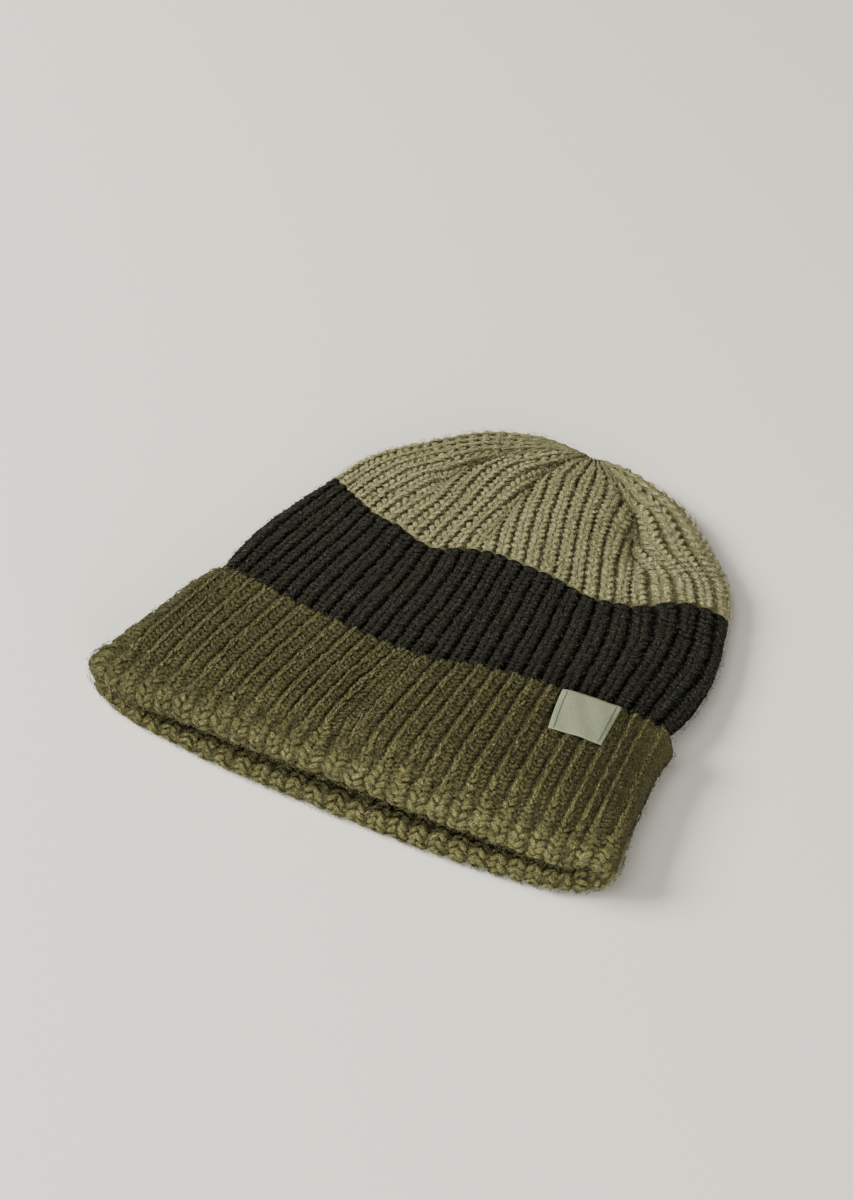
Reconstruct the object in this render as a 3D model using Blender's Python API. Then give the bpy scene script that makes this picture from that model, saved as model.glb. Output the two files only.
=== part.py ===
"""Knitted beanie with a turned-up cuff, lying flat on its back panel.

The tube of knit is drawn first as one middle surface, body_surface(), from the tables below. Its
two coordinates are the rib number, counted round the tube from the left fold over the upper panel
to the right fold and back under the lower panel, and the distance up the knit from the rim. Every
sub-part is a wall laid at chosen offsets from that surface.
"""

import bmesh
import bpy
import numpy as np

# Sizes of the whole hat, in metres
RIM_HALF_WIDTH = 0.1010
CUFF_DEPTH = 0.0650
BAND_DEPTH = 0.0690
CROWN_DEPTH = 0.0630
MIDDLE_DROP = 0.0300
HUMP_HEIGHT = 0.0150
END_CAP_BULGE = 0.0015

# Sizes of the knit
KNIT_THICKNESS = 0.0038
RIB_GROOVE = 0.0015
REVERSE_RIDGE = 0.0008
RIBS_PER_PANEL = 28
COLUMNS_PER_RIB = 3

# Sizes of the folds and gaps
FOLD_SPACE = 0.0016
LAYER_GAP = 0.0006
ROLL_HOLLOW = 0.0012
CLEARANCE = 0.0003
BAND_TUCK = 0.0160

# Sizes of the woven label
LABEL_WIDTH = 0.0210
LABEL_HEIGHT = 0.0185
LABEL_THICKNESS = 0.0010
LABEL_FROM_RIGHT_FOLD = 0.0220

# Rows of the knit, from the rim to the gathered top: the stretch of knit that each row closes,
# how far up that stretch it lies, and the side folds' reach up the same stretch
ROWS = (
    ("rim", "cuff", 0.00, 0.00),
    ("cuff_edge", "cuff", 1.00, 1.00),
    ("band_middle", "band", 0.50, 0.48),
    ("colour_line", "band", 1.00, 1.00),
    ("crown_quarter", "crown", 0.25, 0.30),
    ("crown_half", "crown", 0.50, 0.60),
    ("crown_upper", "crown", 0.75, 0.94),
    ("crown_gather", "crown", 0.90, 1.01),
    ("crown_top", "crown", 1.00, 1.00),
)

# Ribs that the tables follow, by their number from the left fold
LINES = {
    "left_fold": 0.0,
    "left_side": 3.0,
    "left_dart": 7.0,
    "left_hollow": 10.0,
    "back_dart": 13.0,
    "centre": 18.0,
    "right_dart": 23.0,
    "right_side": 25.5,
    "right_fold": 28.0,
}

# Sideways place of each line in each row, as a share of the rim's half width
ACROSS = {
    #                 l_fold  l_side  l_dart  hollow  b_dart  centre  r_dart  r_side  r_fold
    "rim":           (-1.000, -0.802, -0.495, -0.257, -0.030, 0.356, 0.713, 0.862, 0.972),
    "cuff_edge":     (-0.917, -0.758, -0.450, -0.223, 0.000, 0.332, 0.650, 0.792, 0.895),
    "band_middle":   (-0.916, -0.733, -0.446, -0.233, -0.030, 0.297, 0.614, 0.772, 0.910),
    "colour_line":   (-0.850, -0.690, -0.446, -0.248, -0.069, 0.243, 0.535, 0.698, 0.832),
    "crown_quarter": (-0.797, -0.658, -0.406, -0.248, -0.079, 0.203, 0.455, 0.634, 0.762),
    "crown_half":    (-0.652, -0.568, -0.396, -0.252, -0.099, 0.134, 0.376, 0.510, 0.604),
    "crown_upper":   (-0.396, -0.371, -0.317, -0.218, -0.104, 0.079, 0.267, 0.322, 0.356),
    "crown_gather":  (-0.208, -0.203, -0.188, -0.134, -0.079, 0.025, 0.119, 0.139, 0.149),
    "crown_top":     (-0.089, -0.084, -0.069, -0.054, -0.040, -0.010, 0.020, 0.035, 0.050),
}

# How far each line hangs back towards the rim from the left fold, as a share of the middle drop
DROP = {
    #                 l_fold  l_side  l_dart  hollow  b_dart  centre  r_dart  r_side  r_fold
    "rim":           (0.10, 0.35, 0.43, 0.46, 0.46, 0.43, 0.33, 0.25, 0.00),
    "cuff_edge":     (0.10, 0.35, 0.60, 0.71, 0.72, 0.53, 0.24, 0.12, 0.06),
    "band_middle":   (0.00, 0.30, 0.70, 0.87, 0.77, 0.68, 0.43, 0.13, 0.00),
    "colour_line":   (0.00, 0.38, 0.93, 1.12, 0.87, 0.88, 0.75, 0.23, 0.00),
    "crown_quarter": (0.00, 0.37, 0.67, 0.85, 0.73, 0.73, 0.67, 0.40, 0.07),
    "crown_half":    (0.00, 0.35, 0.70, 0.73, 0.63, 0.70, 0.78, 0.53, 0.10),
    "crown_upper":   (0.00, 0.32, 0.68, 0.78, 0.72, 0.77, 0.77, 0.52, 0.17),
    "crown_gather":  (0.03, 0.17, 0.34, 0.41, 0.42, 0.45, 0.43, 0.27, 0.12),
    "crown_top":     (0.06, 0.08, 0.09, 0.09, 0.09, 0.09, 0.09, 0.09, 0.08),
}

# Height of each row: how much of the cuff's lower layer it rides on, how open its side folds are
# and how high its upper panel stands, each as a share of its named size
RISE = {
    #                 on_cuff  open  hump
    "rim":           (1.00, 0.80, 0.44),
    "cuff_edge":     (1.00, 0.45, 0.78),
    "band_middle":   (0.20, 1.00, 0.98),
    "colour_line":   (0.00, 1.20, 0.96),
    "crown_quarter": (0.00, 1.20, 0.88),
    "crown_half":    (0.00, 1.20, 0.72),
    "crown_upper":   (0.10, 1.10, 0.45),
    "crown_gather":  (0.30, 1.00, 0.18),
    "crown_top":     (0.45, 0.80, 0.03),
}

# Ribs that have run into each side of each dart by each row of the crown
SWALLOWED = {
    #                 left_dart    back_dart    right_dart
    #                 left  right  left  right  left  right
    "colour_line":   (0.0, 0.0, 0.0, 0.0, 0.0, 0.0),
    "crown_quarter": (0.2, 0.1, 0.3, 0.8, 0.0, 0.5),
    "crown_half":    (1.2, 0.7, 0.8, 1.7, 0.4, 1.6),
    "crown_upper":   (2.0, 1.4, 1.6, 2.3, 1.4, 2.2),
    "crown_gather":  (2.4, 1.9, 2.0, 2.7, 2.3, 2.6),
    "crown_top":     (2.5, 2.0, 2.0, 2.8, 2.6, 2.7),
}

# Dents of the upper panel: the line that each follows, its middle row, how many rows it reaches
# each way, its half width in ribs and its depth as a share of the hump
DENTS = (
    # line          row  reach  ribs  depth
    ("left_dart", 5.6, 1.1, 1.3, 0.14),
    ("back_dart", 5.8, 1.3, 0.9, 0.14),
    ("right_dart", 5.4, 1.2, 1.2, 0.30),
    ("right_dart", 3.6, 1.0, 3.0, -0.05),
    ("left_hollow", 3.4, 1.2, 2.5, 0.07),
    ("back_dart", 2.6, 1.1, 2.0, -0.05),
)

# Shape of the hump across a panel, the ribs that turn round a side fold, the share of a dart's
# ribs that stays outside it and the share of the reverse ridges left where they are pressed
HUMP_SHOULDER = 2.6
HUMP_SOFTNESS = 1.3
FOLD_TURN_RIBS = 1.0
DART_MELT = 0.08
PRESSED_SHARE = 0.6

# Rows of points of each wall, as shares of its length up the knit, and round the rolled rim
CROWN_OUTER_SHARES = (0.99, 0.92, 0.84, 0.75, 0.63, 0.50, 0.38, 0.25, 0.12, 0.0)
CROWN_INNER_SHARES = (0.0, 0.25, 0.50, 0.72, 0.86)
BAND_OUTER_SHARES = (0.0, 0.22, 0.48, 0.74)
BAND_INNER_SHARE = 0.5
CUFF_OUTER_SHARES = (0.16, 0.42, 0.70, 0.85, 1.0)
CUFF_INNER_SHARES = (1.0, 0.5, 0.22)
ROLL_OUTER_DEGREES = (-75, -38, 0, 38, 75)
ROLL_INNER_DEGREES = (70, 0, -70)
LABEL_ROW_SHARES = (1.0, 0.66, 0.33)
LABEL_COLUMNS = 7

COLOURS = {
    "crown": (0.40, 0.36, 0.22),
    "band": (0.035, 0.032, 0.022),
    "cuff": (0.120, 0.100, 0.042),
    "label": (0.50, 0.51, 0.42),
}
KNIT_ROUGHNESS = 0.95
LABEL_ROUGHNESS = 0.80

LAYER_STEP = KNIT_THICKNESS + LAYER_GAP
PRESSED_RIDGE = PRESSED_SHARE * REVERSE_RIDGE
TOP = CUFF_DEPTH + BAND_DEPTH + CROWN_DEPTH

# Small steps, in ribs and up the knit, over which the surface's slope is taken
TURN_STEP = 0.05
RISE_STEP = TOP / 500

STRETCHES = {
    "cuff": (0.0, CUFF_DEPTH),
    "band": (CUFF_DEPTH, BAND_DEPTH),
    "crown": (CUFF_DEPTH + BAND_DEPTH, CROWN_DEPTH),
}
ROW_HEIGHTS = np.array([STRETCHES[part][0] + share * STRETCHES[part][1] for _, part, share, _ in ROWS])
FOLD_REACH = np.array([STRETCHES[part][0] + reach * STRETCHES[part][1] for _, part, _, reach in ROWS])
RIB_SCALE = RIBS_PER_PANEL / LINES["right_fold"]
LINE_RIBS = np.array(list(LINES.values())) * RIB_SCALE
DART_NAMES = ("left_dart", "back_dart", "right_dart")
GORE_EDGES = (0.0, *(LINES[name] * RIB_SCALE for name in DART_NAMES), float(RIBS_PER_PANEL))
SEAM_RIB = round(LINES["back_dart"] * RIB_SCALE)


def table(rows):
    """The rows of a table, in the order of ROWS, as an array."""
    return np.array([rows[name] for name, *_ in ROWS if name in rows])


def smooth(at, knots, values):
    """Values between knots by a cubic that never overshoots them.

    values has one row of knot values for each row of at. The slope at a knot is the harmonic
    mean of the slopes beside it, or nothing where they differ in sign.
    """
    step = np.diff(knots)
    rise = np.diff(values, axis=-1) / step
    before, after = rise[..., :-1], rise[..., 1:]
    same = before * after > 0
    total = np.where(same, before + after, 1.0)
    inner = np.where(same, 2.0 * before * after / total, 0.0)
    slope = np.concatenate([rise[..., :1], inner, rise[..., -1:]], axis=-1)
    cell = np.clip(np.searchsorted(knots, at, side="right") - 1, 0, len(knots) - 2)
    width = step[cell]
    share = (at - knots[cell]) / width
    low, high = (np.take_along_axis(values, cell + more, -1) for more in (0, 1))
    low_slope, high_slope = (np.take_along_axis(slope, cell + more, -1) for more in (0, 1))
    turned = share * share * (3.0 - 2.0 * share)
    leave = share * (1.0 - share) ** 2
    reach = share * share * (1.0 - share)
    return low + (high - low) * turned + width * (low_slope * leave - high_slope * reach)


def by_height(height, rows, knots=ROW_HEIGHTS):
    """Each column of a table at the given heights up the knit."""
    columns = np.asarray(rows, float).T
    at = np.broadcast_to(height, (len(columns), len(height)))
    return smooth(at, knots, columns).T


def past_darts(rib, height):
    """Rib numbers after the darts have taken in the ribs beside them."""
    known = table(SWALLOWED) * RIB_SCALE
    crown_rows = ROW_HEIGHTS[-len(known):]
    taken = by_height(np.maximum(height, crown_rows[0]), known, crown_rows)
    taken = np.pad(taken, ((0, 0), (1, 1)))
    result = rib.copy()
    for gore, (low, high) in enumerate(zip(GORE_EDGES, GORE_EDGES[1:])):
        from_left, from_right = taken[:, 2 * gore], taken[:, 2 * gore + 1]
        left = low + from_left[:, None]
        span = (high - low) - (from_left + from_right)[:, None]
        kept = np.clip((rib - left) / span, 0.0, 1.0)
        plain = (rib - low) / (high - low)
        melt = np.minimum(DART_MELT, from_left + from_right)[:, None]
        moved = low + (high - low) * ((1.0 - melt) * kept + melt * plain)
        result = np.where((rib >= low) & (rib <= high), moved, result)
    return result


def fold_turn(panel_rib):
    """Share of the panel across which a rib lies in plan, and how far it has turned up the fold."""
    from_fold = np.minimum(panel_rib, RIBS_PER_PANEL - panel_rib)
    angle = np.clip(from_fold / FOLD_TURN_RIBS, 0.0, 1.0) * np.pi / 2
    inset = np.where(from_fold < FOLD_TURN_RIBS, FOLD_TURN_RIBS * (1.0 - np.cos(angle)), from_fold)
    plan_rib = np.where(panel_rib < RIBS_PER_PANEL / 2, inset, RIBS_PER_PANEL - inset)
    return plan_rib, np.sin(angle)


def dent_depth(plan_rib, height):
    """Sum of the dents, each a bell along its line and across it, as a share of the hump."""
    row = np.interp(height, ROW_HEIGHTS, np.arange(len(ROWS)))[:, None]
    depth = np.zeros_like(plan_rib)
    for line, middle, reach, ribs, share in DENTS:
        beside = (plan_rib / RIB_SCALE - LINES[line]) / ribs
        along = (row - middle) / reach
        depth += share * np.exp(-beside**2 - along**2)
    return depth


def body_surface(rib, height):
    """Points of the middle surface of the tube, an array of rows by ribs by three.

    In plan a point lies on a smooth curve through the lines of its row. Its height is that of
    the side fold, plus or minus the fold's round, and on the upper panel plus the hump, whose
    share is one less the across share to the power of the shoulder, all to the softness.
    """
    rib = np.mod(np.broadcast_to(rib, (len(height), np.shape(rib)[-1])), 2 * RIBS_PER_PANEL)
    upper = rib <= RIBS_PER_PANEL
    panel_rib = past_darts(np.where(upper, rib, 2 * RIBS_PER_PANEL - rib), height)
    plan_rib, turned = fold_turn(panel_rib)
    x = RIM_HALF_WIDTH * smooth(plan_rib, LINE_RIBS, by_height(height, table(ACROSS)))
    reach = by_height(height, FOLD_REACH[:, None])
    y = reach - MIDDLE_DROP * smooth(plan_rib, LINE_RIBS, by_height(height, table(DROP)))
    on_cuff, opened, hump = by_height(height, table(RISE)).T[:, :, None]
    fold_radius = KNIT_THICKNESS / 2 + FOLD_SPACE * opened
    fold_height = KNIT_THICKNESS / 2 + fold_radius + (LAYER_STEP + PRESSED_RIDGE) * on_cuff
    across = np.abs(2.0 * plan_rib / RIBS_PER_PANEL - 1.0)
    bump = np.maximum(1.0 - across**HUMP_SHOULDER, 0.0) ** HUMP_SOFTNESS
    raised = HUMP_HEIGHT * bump * (hump - dent_depth(plan_rib, height) * turned)
    z = fold_height + np.where(upper, fold_radius * turned + raised, -fold_radius * turned)
    return np.stack([x, y, z], axis=-1)


def wall_points(rib, height, offset):
    """Points at an offset from the middle surface, outwards where it is positive.

    Below the rim the surface runs on straight, so a roll of cloth can be laid round it.
    """
    height = np.atleast_1d(np.asarray(height, float))
    offset = np.asarray(offset, float)
    if offset.ndim == 1:
        offset = offset[:, None]
    held = np.clip(height, 0.0, TOP)
    low, high = np.maximum(held - RISE_STEP, 0.0), np.minimum(held + RISE_STEP, TOP)
    points = body_surface(rib, held)
    round_it = body_surface(rib + TURN_STEP, held) - body_surface(rib - TURN_STEP, held)
    up_it = body_surface(rib, high) - body_surface(rib, low)
    up_it /= np.linalg.norm(up_it, axis=-1, keepdims=True)
    outward = np.cross(round_it, up_it)
    outward /= np.linalg.norm(outward, axis=-1, keepdims=True)
    points += up_it * (height - held)[:, None, None] + outward * offset[..., None]
    points[..., 2] = np.maximum(points[..., 2], 0.0)
    return points


FINE_RIBS = np.arange(2 * RIBS_PER_PANEL * COLUMNS_PER_RIB) / COLUMNS_PER_RIB
COARSE_RIBS = np.arange(2 * RIBS_PER_PANEL) + 0.5
IN_GROOVE = FINE_RIBS % 1.0 == 0.0
IN_RIDGE = IN_GROOVE & (FINE_RIBS != SEAM_RIB)


def rib_width_share(height):
    """Width of each rib as a share of its width at the rim, at most one, so darts fade the ribs."""
    ahead = body_surface(FINE_RIBS + 0.5, height) - body_surface(FINE_RIBS - 0.5, height)
    plain = 2 * RIM_HALF_WIDTH / RIBS_PER_PANEL
    return np.clip(np.linalg.norm(ahead, axis=-1) / plain, 0.0, 1.0)


def fine_ring(height, offset):
    """A ring with three points to a rib."""
    return wall_points(FINE_RIBS, [height], [offset])[0]


def ribbed_ring(height):
    """A ring on the outer face of the knit, sunk between the ribs."""
    sunk = RIB_GROOVE * IN_GROOVE * rib_width_share(np.array([height]))
    return wall_points(FINE_RIBS, [height], KNIT_THICKNESS / 2 - sunk)[0]


def ridged_ring(height, offset):
    """A ring on the cuff's outer face, which shows the reverse of the knit: a fine ridge to each
    rib, except along the seam."""
    return wall_points(FINE_RIBS, [height], offset + REVERSE_RIDGE * IN_RIDGE[None])[0]


def coarse_ring(height, offset):
    """A ring with one point to a rib, for the faces that lie inside."""
    return wall_points(COARSE_RIBS, [height], [offset])[0]


def bridge(mesh, first, second):
    """Faces between two rings of vertices, of which one may have three times the other's points."""
    if len(first) == len(second):
        for k in range(len(first)):
            after = (k + 1) % len(first)
            mesh.faces.new((first[k], first[after], second[after], second[k]))
        return
    fine, coarse = (first, second) if len(first) > len(second) else (second, first)
    for k, hub in enumerate(coarse):
        corners = [fine[(COLUMNS_PER_RIB * k + step) % len(fine)] for step in range(COLUMNS_PER_RIB + 1)]
        for one, two in zip(corners, corners[1:]):
            mesh.faces.new((one, two, hub))
        mesh.faces.new((corners[-1], coarse[(k + 1) % len(coarse)], hub))


def close_with_pole(mesh, ring, pole):
    """A fan from a ring to one point."""
    tip = mesh.verts.new(pole)
    for k in range(len(ring)):
        mesh.faces.new((ring[k], ring[(k + 1) % len(ring)], tip))


def solid_from_rings(name, rings, poles=()):
    """An object whose skin runs through the rings in turn, closed on itself or at two poles."""
    mesh = bmesh.new()
    made = [[mesh.verts.new(point) for point in ring] for ring in rings]
    for first, second in zip(made, made[1:]):
        bridge(mesh, first, second)
    if poles:
        close_with_pole(mesh, made[0], poles[0])
        close_with_pole(mesh, made[-1], poles[1])
    else:
        bridge(mesh, made[-1], made[0])
    return finished(name, mesh)


def finished(name, mesh):
    """The bmesh as a named object with its own material, with its faces turned outwards."""
    bmesh.ops.recalc_face_normals(mesh, faces=mesh.faces)
    data = bpy.data.meshes.new(name)
    mesh.to_mesh(data)
    mesh.free()
    data.shade_smooth()
    item = bpy.data.objects.new(name, data)
    bpy.context.scene.collection.objects.link(item)
    material = bpy.data.materials.new(name)
    material.use_nodes = True
    shader = material.node_tree.nodes["Principled BSDF"]
    shader.inputs["Base Color"].default_value = (*COLOURS[name], 1.0)
    shader.inputs["Roughness"].default_value = LABEL_ROUGHNESS if name == "label" else KNIT_ROUGHNESS
    shader.inputs["Metallic"].default_value = 0.0
    data.materials.append(material)
    return item


def make_crown():
    """The sand-coloured top, from the colour line to the gathered point, with its darts."""
    start = CUFF_DEPTH + BAND_DEPTH + CLEARANCE / 2
    length = TOP - start
    rings = [ribbed_ring(start + share * length) for share in CROWN_OUTER_SHARES]
    rings += [coarse_ring(start + share * length, -KNIT_THICKNESS / 2) for share in CROWN_INNER_SHARES]
    tip = rings[0].mean(axis=0) + np.array([0.0, END_CAP_BULGE, 0.0])
    inner_tip = rings[-1].mean(axis=0)
    return solid_from_rings("crown", rings, (tip, inner_tip))


def make_band():
    """The charcoal stripe, which starts under the cuff and ends at the colour line."""
    start = CUFF_DEPTH - BAND_TUCK + CLEARANCE / 2
    end = CUFF_DEPTH + BAND_DEPTH - CLEARANCE / 2
    outer = [start, CUFF_DEPTH - BAND_TUCK / 2]
    outer += [CUFF_DEPTH + share * BAND_DEPTH for share in BAND_OUTER_SHARES] + [end]
    inner = [end, CUFF_DEPTH + BAND_INNER_SHARE * BAND_DEPTH, start]
    rings = [ribbed_ring(height) for height in outer]
    rings += [coarse_ring(height, -KNIT_THICKNESS / 2) for height in inner]
    return solid_from_rings("band", rings)


def make_cuff():
    """The olive cuff: an inner layer, the rolled rim and the outer layer turned up over it."""
    half, middle = KNIT_THICKNESS / 2, LAYER_STEP / 2
    joint = CUFF_DEPTH - BAND_TUCK - CLEARANCE / 2
    inner = [share * joint for share in CUFF_INNER_SHARES]
    rings = [coarse_ring(height, -half) for height in inner]
    for angle in np.radians(ROLL_OUTER_DEGREES):
        around = ROLL_HOLLOW + KNIT_THICKNESS
        rings.append(ridged_ring(-around * np.cos(angle), middle + around * np.sin(angle)))
    for share in CUFF_OUTER_SHARES:
        rings.append(ridged_ring(share * CUFF_DEPTH, LAYER_STEP + half))
    for height in (CUFF_DEPTH, CUFF_DEPTH - BAND_TUCK / 2, joint):
        rings.append(fine_ring(height, LAYER_STEP - half))
    rings += [coarse_ring(height, LAYER_STEP - half) for height in inner[1:]]
    for angle in np.radians(ROLL_INNER_DEGREES):
        rings.append(coarse_ring(-ROLL_HOLLOW * np.cos(angle), middle + ROLL_HOLLOW * np.sin(angle)))
    rings += [coarse_ring(height, half) for height in reversed(inner)]
    return solid_from_rings("cuff", rings)


def make_label():
    """The woven tag: a leg on the cuff's outer face and a lip over the cuff's edge."""
    pitch = 2 * RIM_HALF_WIDTH * ACROSS["cuff_edge"][-1] / RIBS_PER_PANEL
    right = RIBS_PER_PANEL - LABEL_FROM_RIGHT_FOLD / pitch
    ribs = np.linspace(right - LABEL_WIDTH / pitch, right, LABEL_COLUMNS)
    under = LAYER_STEP + KNIT_THICKNESS / 2 + REVERSE_RIDGE + CLEARANCE
    over = under + LABEL_THICKNESS
    lip = CUFF_DEPTH + CLEARANCE
    lip_end = KNIT_THICKNESS / 2 + LAYER_GAP
    legs = [CUFF_DEPTH - LABEL_HEIGHT * share for share in LABEL_ROW_SHARES]
    section = [(height, under) for height in legs] + [(lip, under), (lip, lip_end)]
    section += [(lip + LABEL_THICKNESS, lip_end), (lip + LABEL_THICKNESS, over)]
    section += [(height, over) for height in reversed(legs)]
    heights, offsets = np.array(section).T
    points = wall_points(ribs, heights, offsets)
    mesh = bmesh.new()
    loops = [[mesh.verts.new(point) for point in points[:, k]] for k in range(len(ribs))]
    for first, second in zip(loops, loops[1:]):
        bridge(mesh, first, second)
    mesh.faces.new(loops[0])
    mesh.faces.new(loops[-1])
    return finished("label", mesh)


def centre_on_origin(items):
    """Moves every piece by one step, so that the hat stands round the origin of the floor."""
    corners = np.array([vertex.co for item in items for vertex in item.data.vertices])
    middle = (corners.min(axis=0) + corners.max(axis=0)) / 2
    for item in items:
        item.location = (-middle[0], -middle[1], 0.0)


def main():
    for item in list(bpy.data.objects):
        bpy.data.objects.remove(item)
    centre_on_origin([make_crown(), make_band(), make_cuff(), make_label()])


main()
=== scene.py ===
"""Looks of a knitted beanie lying flat: its stitches, wool, label, floor, light and camera.

The file is laid out as a Blender add-on and run as a script. The hat's middle surface comes from
the same sizes and tables as its solids, so each stitch is laid on the fabric by three numbers: the
rib round the tube, the distance up the knit and the height over the fabric.
"""

import bpy
import numpy as np
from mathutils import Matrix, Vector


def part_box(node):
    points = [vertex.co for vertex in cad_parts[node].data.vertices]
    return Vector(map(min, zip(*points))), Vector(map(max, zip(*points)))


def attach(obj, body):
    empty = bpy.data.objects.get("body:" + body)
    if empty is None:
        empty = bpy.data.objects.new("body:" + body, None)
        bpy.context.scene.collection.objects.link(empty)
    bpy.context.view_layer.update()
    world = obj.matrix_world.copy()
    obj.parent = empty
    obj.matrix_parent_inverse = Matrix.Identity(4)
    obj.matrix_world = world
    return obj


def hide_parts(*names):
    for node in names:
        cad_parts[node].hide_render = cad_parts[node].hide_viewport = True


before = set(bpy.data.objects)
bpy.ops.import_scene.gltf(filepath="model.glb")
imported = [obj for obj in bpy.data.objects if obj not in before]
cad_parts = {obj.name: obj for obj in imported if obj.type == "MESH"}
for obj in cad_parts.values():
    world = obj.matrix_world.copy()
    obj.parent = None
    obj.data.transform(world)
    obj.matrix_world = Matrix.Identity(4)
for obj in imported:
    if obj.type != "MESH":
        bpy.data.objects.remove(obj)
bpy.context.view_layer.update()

bl_info = {
    "name": "Knitted Beanie",
    "version": (1, 0, 0),
    "blender": (4, 5, 0),
    "location": "View3D > Sidebar > Beanie",
    "description": "Builds the knit, label and studio of a flat beanie",
    "category": "Add Mesh",
}

# Sizes of the whole hat, in metres
RIM_HALF_WIDTH = 0.1010
CUFF_DEPTH = 0.0650
BAND_DEPTH = 0.0690
CROWN_DEPTH = 0.0630
MIDDLE_DROP = 0.0300
HUMP_HEIGHT = 0.0150
END_CAP_BULGE = 0.0015

# Sizes of the knit, its folds and gaps
KNIT_THICKNESS = 0.0038
REVERSE_RIDGE = 0.0008
RIBS_PER_PANEL = 28
FOLD_SPACE = 0.0016
LAYER_GAP = 0.0006
ROLL_HOLLOW = 0.0012
CLEARANCE = 0.0003
BAND_TUCK = 0.0160

# Sizes of the woven label
LABEL_WIDTH = 0.0210
LABEL_HEIGHT = 0.0185
LABEL_FROM_RIGHT_FOLD = 0.0220

# Rows of the knit: the stretch that each closes, its place up that stretch and the folds' reach
ROWS = (
    ("rim", "cuff", 0.00, 0.00),
    ("cuff_edge", "cuff", 1.00, 1.00),
    ("band_middle", "band", 0.50, 0.48),
    ("colour_line", "band", 1.00, 1.00),
    ("crown_quarter", "crown", 0.25, 0.30),
    ("crown_half", "crown", 0.50, 0.60),
    ("crown_upper", "crown", 0.75, 0.94),
    ("crown_gather", "crown", 0.90, 1.01),
    ("crown_top", "crown", 1.00, 1.00),
)

# Ribs that the tables follow, by their number from the left fold
LINES = {
    "left_fold": 0.0, "left_side": 3.0, "left_dart": 7.0, "left_hollow": 10.0, "back_dart": 13.0,
    "centre": 18.0, "right_dart": 23.0, "right_side": 25.5, "right_fold": 28.0,
}

# Sideways place of each of LINES in each row, in thousandths of the rim's half width
ACROSS = {
    "rim":           (-1000, -802, -495, -257, -30, 356, 713, 862, 972),
    "cuff_edge":     (-917, -758, -450, -223, 0, 332, 650, 792, 895),
    "band_middle":   (-916, -733, -446, -233, -30, 297, 614, 772, 910),
    "colour_line":   (-850, -690, -446, -248, -69, 243, 535, 698, 832),
    "crown_quarter": (-797, -658, -406, -248, -79, 203, 455, 634, 762),
    "crown_half":    (-652, -568, -396, -252, -99, 134, 376, 510, 604),
    "crown_upper":   (-396, -371, -317, -218, -104, 79, 267, 322, 356),
    "crown_gather":  (-208, -203, -188, -134, -79, 25, 119, 139, 149),
    "crown_top":     (-89, -84, -69, -54, -40, -10, 20, 35, 50),
}

# How far each of LINES hangs back towards the rim from the left fold, in hundredths of the
# middle drop
DROP = {
    "rim":           (10, 35, 43, 46, 46, 43, 33, 25, 0),
    "cuff_edge":     (10, 35, 60, 71, 72, 53, 24, 12, 6),
    "band_middle":   (0, 30, 70, 87, 77, 68, 43, 13, 0),
    "colour_line":   (0, 38, 93, 112, 87, 88, 75, 23, 0),
    "crown_quarter": (0, 37, 67, 85, 73, 73, 67, 40, 7),
    "crown_half":    (0, 35, 70, 73, 63, 70, 78, 53, 10),
    "crown_upper":   (0, 32, 68, 78, 72, 77, 77, 52, 17),
    "crown_gather":  (3, 17, 34, 41, 42, 45, 43, 27, 12),
    "crown_top":     (6, 8, 9, 9, 9, 9, 9, 9, 8),
}

# Height of each row: how much of the cuff's lower layer it rides on, how open its side folds are
# and how high its upper panel stands, each as a share of its named size
RISE = {
    #                 on_cuff  open  hump
    "rim":           (1.00, 0.80, 0.44),
    "cuff_edge":     (1.00, 0.45, 0.78),
    "band_middle":   (0.20, 1.00, 0.98),
    "colour_line":   (0.00, 1.20, 0.96),
    "crown_quarter": (0.00, 1.20, 0.88),
    "crown_half":    (0.00, 1.20, 0.72),
    "crown_upper":   (0.10, 1.10, 0.45),
    "crown_gather":  (0.30, 1.00, 0.18),
    "crown_top":     (0.45, 0.80, 0.03),
}

# Ribs that have run into each side of each dart by each row of the crown
SWALLOWED = {
    #                 left_dart    back_dart    right_dart
    #                 left  right  left  right  left  right
    "colour_line":   (0.0, 0.0, 0.0, 0.0, 0.0, 0.0),
    "crown_quarter": (0.2, 0.1, 0.3, 0.8, 0.0, 0.5),
    "crown_half":    (1.2, 0.7, 0.8, 1.7, 0.4, 1.6),
    "crown_upper":   (2.0, 1.4, 1.6, 2.3, 1.4, 2.2),
    "crown_gather":  (2.4, 1.9, 2.0, 2.7, 2.3, 2.6),
    "crown_top":     (2.5, 2.0, 2.0, 2.8, 2.6, 2.7),
}

# Dents of the upper panel: the line that each follows, its middle row, how many rows it reaches
# each way, its half width in ribs and its depth as a share of the hump
DENTS = (
    # line          row  reach  ribs  depth
    ("left_dart", 5.6, 1.1, 1.3, 0.14),
    ("back_dart", 5.8, 1.3, 0.9, 0.14),
    ("right_dart", 5.4, 1.2, 1.2, 0.30),
    ("right_dart", 3.6, 1.0, 3.0, -0.05),
    ("left_hollow", 3.4, 1.2, 2.5, 0.07),
    ("back_dart", 2.6, 1.1, 2.0, -0.05),
)

# Shape of the hump across a panel, the ribs that turn round a side fold, the share of a dart's
# ribs that stays outside it and the share of the reverse ridges left where they are pressed
HUMP_SHOULDER = 2.6
HUMP_SOFTNESS = 1.3
FOLD_TURN_RIBS = 1.0
DART_MELT = 0.08
PRESSED_SHARE = 0.6

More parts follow.
